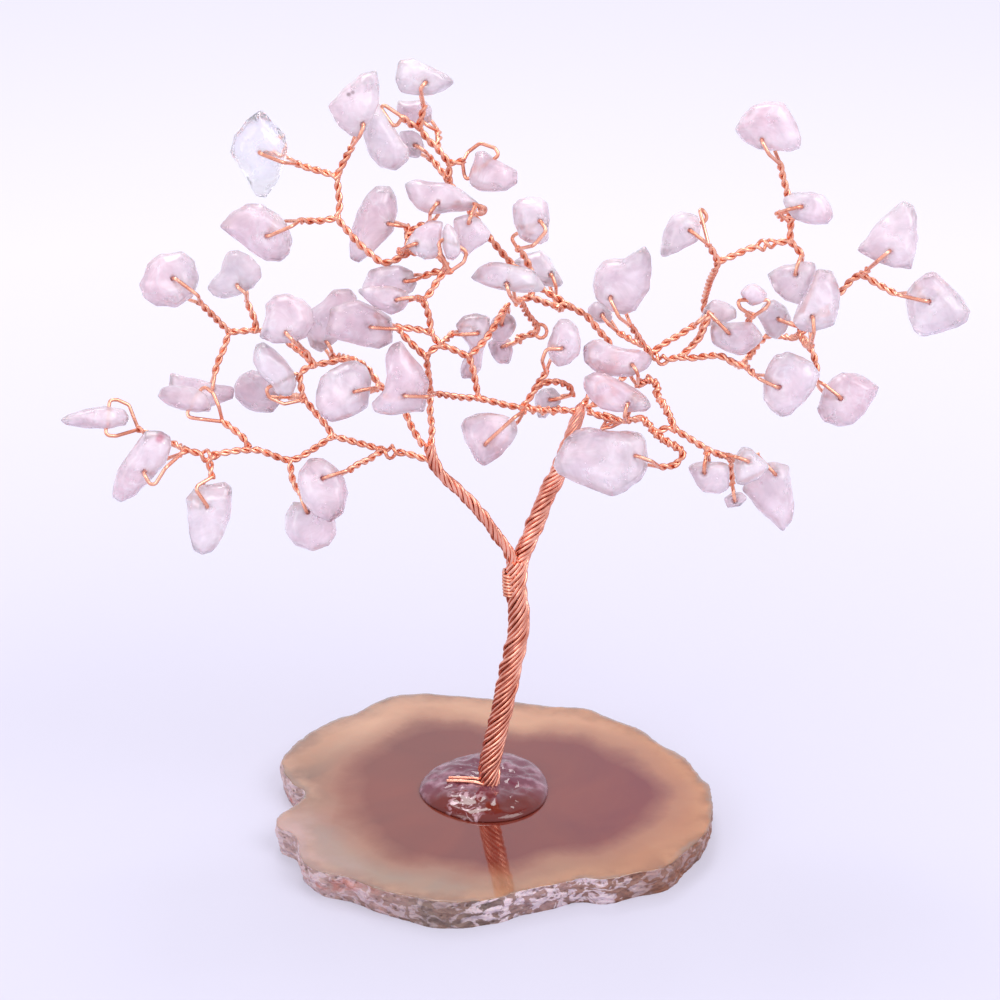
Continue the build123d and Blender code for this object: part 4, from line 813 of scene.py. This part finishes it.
def agate_rind():
    """Rough rind: pinkish at the left, grey under the front, then white speckles and brown."""
    m = Nodes("agate_crust")
    where = m.coords((1, 1, 1.5))
    across = m.axes(where)["X"]
    along = m.grey(across, -36 * MM, 36 * MM)
    left = m.grey(across, -34 * MM, -12 * MM, 1, 0)
    cells = m.add("TexVoronoi", Scale=700.0, Vector=where).outputs["Distance"]
    grain = m.noise(650, 6.0, where)
    ground = m.ramp(along, (0.05, (204, 172, 168)), (0.26, (188, 150, 142)),
                    (0.36, (130, 108, 98)), (0.5, (122, 100, 92)), (0.58, (170, 136, 134)),
                    (0.74, (156, 112, 98)), (0.84, (140, 88, 64)))
    flecks = m.grey(m.noise(400, 5.0, where, distortion=0.9), 0.49, 0.55)
    most = m.ramp(along, (0.28, 0.6), (0.4, 0.25), (0.5, 1), (0.76, 1), (0.85, 0.3))
    stain = m.times(left, m.grey(m.noise(210, 3.0, where), 0.56, 0.66))
    colour = m.layers(
        ground, (m.grey(m.noise(240, 5.0, where), 0.44, 0.6, 0, 0.6), (150, 116, 104)),
        (m.times(flecks, most), (228, 206, 210)), (m.grey(cells, 0.0, 0.25, 0.9, 0), (78, 50, 44)),
        (stain, (196, 104, 86)))
    m.set(Base_Color=colour, Roughness=m.grey(grain, 0, 1, 0.35, 0.75), Subsurface_Weight=0.1,
          Subsurface_Scale=1 * MM)
    m.bump(m.math("ADD", grain, m.times(cells, 0.6)), 0.9, 0.8 * MM)
    return m.material


def set_glue():
    """Clear glue: mauve and streaky on top, crinkled at the front left; the deep red low in front
    is a painted reflection of the copper trunk and the brown stone seen through the glue.
    """
    m = Nodes("set_glue")
    at = m.axes()
    near = m.grey(at["Y"], -4 * MM, 1 * MM, 1, 0)
    high = m.grey(at["Z"], SLICE_T + 0.55 * GLUE_RISE, SLICE_T + 0.9 * GLUE_RISE)
    # dark: the low front of the glue, where the deep red painted reflection goes; the glue is made
    # less clear there so that the painted reflection shows
    dark = m.times(near, m.math("SUBTRACT", 1.0, high))
    streaks = m.grey(m.noise(430, 5.0), 0.5, 0.68, 0, 0.6)
    off_middle = m.math("ABSOLUTE", m.math("ADD", at["X"], 4 * MM))
    patch = m.times(m.grey(off_middle, 1.8 * MM, 3.4 * MM, 1, 0), near)
    crinkles = m.grey(m.noise(620, 4.0, distortion=1.4), 0.52, 0.6, 0, 0.75)
    # the deep red laid over dark is painted reflection, not the glue's own colour
    skin = m.layers((126, 66, 84), (streaks, (206, 160, 178)), (dark, (100, 24, 12)),
                    (m.times(patch, crinkles), (216, 178, 188)))
    m.set(Base_Color=skin, Roughness=0.06, IOR=1.47,
          Transmission_Weight=m.grey(dark, 0, 1, 0.3, 0.05), Coat_Weight=0.2, Coat_Roughness=0.02)
    m.bump(m.noise(420, 3.0), 0.35, 0.4 * MM)
    return m.material


def background_rays(tree):
    """1 for the rays that see the background: from the camera, off metal and through stone."""
    paths = tree.nodes.new("ShaderNodeLightPath")
    seen = paths.outputs["Is Camera Ray"]
    for name in ("Is Glossy Ray", "Is Transmission Ray"):
        most = tree.nodes.new("ShaderNodeMath")
        most.operation = "MAXIMUM"
        tree.links.new(seen, most.inputs[0])
        tree.links.new(paths.outputs[name], most.inputs[1])
        seen = most.outputs[0]
    return seen


def blended(tree, factor, first, second, output):
    """A mix of two shaders, led to the tree's output."""
    both = tree.nodes.new("ShaderNodeMixShader")
    for socket, source in zip(both.inputs, (factor, first.outputs[0], second.outputs[0])):
        tree.links.new(source, socket)
    tree.links.new(both.outputs[0], output.inputs["Surface"])


def pale_floor():
    """Pale floor that fades into the background far off. Its colour carries painted shade and
    painted light: a little darker near the slice, paler far off where the lamps' light falls off.
    """
    m = Nodes("pale_floor")
    away = m.vector("LENGTH", m.vector("ADD", m.coords(), (0, 30 * MM, 0)))
    # painted shade near the slice and painted light far off, put into the floor's own colour
    colour = m.mix(m.grey(away, 50 * MM, 360 * MM), (198, 195, 215), (232, 228, 246))
    m.set(Base_Color=colour, Roughness=0.9, Specular_IOR_Level=0.1)
    glow = m.add("Emission", Color=linear((246, 243, 255)), Strength=1.0)
    share = m.grey(away, 0.12, 2.0, 0.35, 1.0)
    blended(m.tree, m.times(background_rays(m.tree), share), m.shader, glow, m.output)
    return m.material


COPPER = copper("copper_strand", (252, 188, 160), (222, 144, 116))
TRUNK_COPPER = copper("trunk_copper", (250, 184, 160), (210, 132, 108))
ROSE_LOOK = ((242, 230, 236), (240, 215, 224), 0.35, 0.7)
ROSE = quartz("rose_quartz", *ROSE_LOOK)
CLEAR = quartz("clear_quartz", (250, 249, 253), (248, 245, 251), 0.8, 0.97)


# Wires

plans = {wire: {name: ChipPlan(*shares) for name, shares in chips.items()}
         for wire, chips in CHIP_SHARES.items()}
SPOTTED = {}
for (wire, name), marks in SPOT_SHARES.items():
    plan = plans[wire][name]
    spots = [(plan.at(*at), plan.normal, size, shade) for *at, size, shade in marks]
    node = "chip_" + name
    SPOTTED[node] = quartz(node + "_quartz", *ROSE_LOOK, spots)
EYES = [sight(*p).normalized() for p in pairs(EYE_SHARES)]


def twisted_pair(points, phase):
    """The two strands of a stem, which run a little past its ends into what they join."""
    first = points[0] + (points[0] - points[1]).normalized() * (WIRE_D / 2)
    last = points[-1] + (points[-1] - points[-2]).normalized() * (WIRE_D / 2)
    path = spaced(rounded([first, *points[1:-1], last], STEM_BEND_R), STEM_STEP)
    return [wound(path, WIRE_D / 2, PAIR_PITCH, phase + side * pi, PAIR_WANDER, 0, phase, EYES)
            for side in (0, 1)]


for wire, stems in STEM_SHARES.items():
    carried = list(plans[wire].values())
    lines = []
    for i, run in enumerate([places(stem) for stem in stems] + [plan.twig for plan in carried]):
        lines += twisted_pair(run, PAIR_PHASE * i)
    lines += [plan.loop() for plan in carried]
    node = wire + "_wire"
    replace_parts(strands(node + "_strands", lines, WIRE_D, COPPER), node)


def laid(path, radius, pitch, count, wander, rough, seed, taper):
    """Strands laid side by side about a path: every third stands proud of the next two."""
    return [wound(path, radius - (PROUD_STEP * (k % 3) if rough else 0), pitch,
                  2 * pi * k / count, wander, rough, k + seed, (), taper)
            for k in range(count)]


def bundle(points, diameter, pitch, count, taper=None):
    """A limb or the trunk: a ring of strands round a core of more strands."""
    path = spaced(rounded(points, LIMB_BEND_R), LIMB_STEP)
    ring = diameter / 2 - WIRE_D / 2
    inner = max(3, round(count * CORE_COUNT_SHARE))
    return (laid(path, ring, pitch, count, RING_WANDER, RING_ROUGH, 0, taper)
            + laid(path, ring - WIRE_D * CORE_DEPTH_SHARE, pitch * CORE_PITCH_SHARE, inner,
                   CORE_WANDER, 0, CORE_SEED, taper))


for node, points, lay in (("trunk", TRUNK_SHARES, TRUNK_LAY),
                          ("right_limb", RIGHT_LIMB_SHARES, RIGHT_LIMB_LAY),
                          ("left_limb", LEFT_LIMB_SHARES, LEFT_LIMB_LAY)):
    lines = bundle(places(points), *lay)
    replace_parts(strands(node + "_strands", lines, WIRE_D, TRUNK_COPPER), node)

wraps = []
for points, radius, pitch in WRAP_SHARES:
    path = spaced(rounded(places(points), STEM_BEND_R), WRAP_STEP)
    wraps.append(wound(path, radius, pitch, WRAP_PHASE, WRAP_WANDER, 0, radius))
strands("wrap_strands", wraps, WRAP_D, COPPER)
strands("folded_ends", [spaced(places(points), FOLD_STEP) for points in FOLD_SHARES],
        WRAP_D, COPPER)

low = SLICE_T + FOOT_WIRE_LIFT + WIRE_D / 2
ends = []
for across, down in pairs(FOOT_WIRE_END_SHARES):
    tip = on_level(across, down, low)
    out = Vector((tip.x, tip.y, 0))
    root = out.normalized() * TRUNK_D * FOOT_ROOT_SHARE
    points = [root + up(SLICE_T + FOOT_WIRE_RISE), out * FOOT_KNEE_SHARE + up(low), tip]
    ends.append(spaced(rounded(points, FOOT_WIRE_BEND_R), FOOT_WIRE_STEP))
for points in LAID_END_SHARES:
    points = [on_level(x, y, SLICE_T + rise * MM) for x, y, rise in trios(points)]
    ends.append(spaced(points, FOOT_WIRE_STEP))
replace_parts(strands("foot_strand_ends", ends, WIRE_D, TRUNK_COPPER), "foot_wires")

# Chips


def evened(mesh):
    """The mesh of a solid remade in even faces, with its edges tumbled round."""
    probe = added("probe", mesh.copy())
    remesh = probe.modifiers.new("remesh", "REMESH")
    remesh.mode = "VOXEL"
    remesh.voxel_size = VOXEL
    smooth = probe.modifiers.new("smooth", "SMOOTH")
    smooth.factor = 0.5
    smooth.iterations = SKIN_SMOOTHING
    graph = bpy.context.evaluated_depsgraph_get()
    made = bpy.data.meshes.new_from_object(probe.evaluated_get(graph))
    bpy.data.objects.remove(probe)
    return made


def dented(mesh, seed):
    """Dents in the skin, about the size that the solid had before its edges were rounded."""
    for v, normal in zip(mesh.vertices, [n.vector.copy() for n in mesh.vertex_normals]):
        at = v.co / DENT_SIZE + Vector((seed, 0, 0))
        v.co += normal * (SWELL - DENT * max(0.0, DENT_LEVEL + noise.noise(at)))


for count, node in enumerate(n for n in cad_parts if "chip" in n):
    mesh = evened(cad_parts[node].data)
    dented(mesh, DENT_SEED * count)
    clear = node == "chip_top_02"
    piece = mesh_piece(node + "_stone", mesh, CLEAR if clear else SPOTTED.get(node, ROSE),
                       "tree" if "tight" in node else node)
    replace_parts(piece, node)

# Slice


def closed_smooth(shares, count):
    """Evenly spaced points on a closed smooth curve through places on the slice's top."""
    points = [on_level(*p, SLICE_T) for p in pairs(shares)]
    dense = []
    n = len(points)
    for i in range(n):
        p0, p1, p2, p3 = points[i - 1], points[i], points[(i + 1) % n], points[(i + 2) % n]
        for k in range(SMOOTH_STEPS):
            t = k / SMOOTH_STEPS
            dense.append((p1 * 2 + (p2 - p0) * t + (p0 * 2 - p1 * 5 + p2 * 4 - p3) * t ** 2
                          + (p1 * 3 - p0 - p2 * 3 + p3) * t ** 3) / 2)
    dense.append(dense[0])
    length = sum((b - a).length for a, b in zip(dense, dense[1:]))
    return spaced(dense, length / count)[:count]


def inside(point, loop):
    hit = False
    for a, b in zip(loop, loop[1:] + loop[:1]):
        if (a.y > point.y) != (b.y > point.y):
            if point.x < a.x + (b.x - a.x) * (point.y - a.y) / (b.y - a.y):
                hit = not hit
    return hit


def edge_distance(loop):
    tree = KDTree(len(loop))
    for i, p in enumerate(loop):
        tree.insert(Vector((p.x, p.y, 0)), i)
    tree.balance()
    return lambda p: tree.find(Vector((p.x, p.y, 0)))[2]


def rings_mesh(name, rings, centre_top, centre_bottom):
    """Closed mesh through rings of as many points, clockwise from above, lowest ring first."""
    mesh = bpy.data.meshes.new(name)
    n = len(rings[0])
    points = [p for ring in rings for p in ring] + [centre_top, centre_bottom]
    top = len(points) - 2
    last = top - n
    faces = []
    for k in range(len(rings) - 1):
        for i in range(n):
            j = (i + 1) % n
            faces.append((k * n + i, (k + 1) * n + i, (k + 1) * n + j, k * n + j))
    faces += [(last + i, top, last + (i + 1) % n) for i in range(n)]
    faces += [((i + 1) % n, top + 1, i) for i in range(n)]
    mesh.from_pydata([tuple(p) for p in points], [], faces)
    mesh.update()
    return mesh


def scaled(ring, centre, share):
    return [centre + (p - centre) * share for p in ring]


rim = closed_smooth(SLICE_EDGE_SHARES, RIM_COUNT)
heart = middle(rim)
rim = scaled(rim, heart, RIM_SHARE)


def rind_ring(level):
    """The rind at one height: it stands back under the face and towards the underside."""
    edge = RIND_EDGE * max(0, level - 0.8) / 0.2
    most = RIND_ROUGH * (1 if 0.04 < level < 0.97 else 0.5)
    ring = []
    for p in rim:
        out = (p - heart).normalized()
        rough = 0.5 + noise.noise(p / RIND_LUMP + up(level * 5))
        rough += 0.6 * (0.5 + noise.noise(p / RIND_GRAIN + up(level * 14)))
        wave = 0.4 + 0.8 * (0.5 + noise.noise(p / RIND_WAVE))
        back = RIND_LEAN * (1 - level) ** 2 * wave + edge + most * max(0.0, rough)
        ring.append(p - out * back + up((level - 1) * SLICE_T))
    return ring


rings = [rind_ring(level) for level in RIND_LEVEL_SHARES]
top_rim = rings[-1]
rings += [scaled(top_rim, heart, share) for share in FACE_RING_SHARES]
slice_mesh = rings_mesh("agate_body", rings, heart, heart - up(SLICE_T))
plum_edge = closed_smooth(PLUM_EDGE_SHARES, PLUM_COUNT)
to_rim = edge_distance(top_rim)
to_plum = edge_distance(plum_edge)
depths = [to_rim(v.co) / MM for v in slice_mesh.vertices]
plums = [to_plum(v.co) / MM * (1 if inside(v.co, plum_edge) else -1) for v in slice_mesh.vertices]
for name, values in (("depth_mm", depths), ("plum_mm", plums)):
    slice_mesh.attributes.new(name, "FLOAT", "POINT").data.foreach_set("value", values)
piece = mesh_piece("agate_slice_body", slice_mesh, agate_top())
slice_mesh.materials.append(agate_rind())
for face in slice_mesh.polygons:
    if face.normal.z < FACE_UP:
        face.material_index = 1
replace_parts(piece, "agate_slice")

# Glue

glue_edge = closed_smooth(GLUE_EDGE_SHARES, GLUE_COUNT)
glue_heart = middle(glue_edge)


def glue_ring(t):
    """The glue's skin a share t of the way from its foot to its crown, with soft ridges."""
    rise = sin(t * pi / 2) ** 0.9
    ring = []
    for q in scaled(glue_edge, glue_heart, cos(t * pi / 2) * GLUE_SPREAD_SHARE):
        ridge = GLUE_RIDGE_SHARE * noise.noise(q / GLUE_RIDGE)
        ridge += GLUE_WRINKLE_SHARE * noise.noise(q / GLUE_WRINKLE)
        height = GLUE_RISE * rise * min(GLUE_MOST_SHARE, GLUE_LEVEL_SHARE + ridge * rise)
        ring.append(q + up(height))
    return ring


rings = [scaled(glue_edge, glue_heart, GLUE_FOOT_SHARE)]
rings += [glue_ring(k / GLUE_STEPS) for k in range(GLUE_STEPS)]
crown = glue_heart + up(GLUE_RISE * GLUE_CROWN_SHARE)
glue_mesh = rings_mesh("glue_body", rings, crown, glue_heart)
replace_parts(mesh_piece("glue_dome", glue_mesh, set_glue()), "glue_mound")

# Floor, light and camera

floor_mesh = bpy.data.meshes.new("floor")
floor_mesh.from_pydata([(-3, -3, 0), (3, -3, 0), (3, 6, 0), (-3, 6, 0)], [], [(0, 1, 2, 3)])
floor_mesh.materials.append(pale_floor())
floor = added("floor", floor_mesh)

world = bpy.data.worlds.new("studio")
world.use_nodes = True
sky = world.node_tree
lit = sky.nodes["Background"]
lit.inputs["Color"].default_value = linear((246, 245, 252))
lit.inputs["Strength"].default_value = 0.88
shown = sky.nodes.new("ShaderNodeBackground")
shown.inputs["Color"].default_value = linear((246, 243, 255))
blended(sky, background_rays(sky), lit, shown, sky.nodes["World Output"])
bpy.context.scene.world = world


def aimed(name, data, at, way):
    thing = added(name, data)
    thing.location = at
    thing.rotation_euler = way.to_track_quat("-Z", "Y").to_euler()
    return thing


LAMP_AIM = Vector((0, 0, 0.08))
for name, at, size, power in (("key", (0.4, -0.3, 0.6), 0.45, 2.6),
                              ("fill", (-0.5, -0.4, 0.35), 0.4, 1.2),
                              ("rim", (-0.1, 0.3, 0.75), 0.3, 2.0)):
    light = bpy.data.lights.new(name, "AREA")
    light.size = size
    light.energy = power
    aimed(name, light, at, LAMP_AIM - Vector(at))

camera = bpy.data.cameras.new("view")
camera.sensor_width = 36
camera.lens = camera.sensor_width * VIEW_DISTANCE / VIEW_SPAN
bpy.context.scene.camera = aimed("view", camera, EYE, AHEAD)
bpy.context.scene.view_settings.view_transform = "Standard"

bpy.context.view_layer.update()
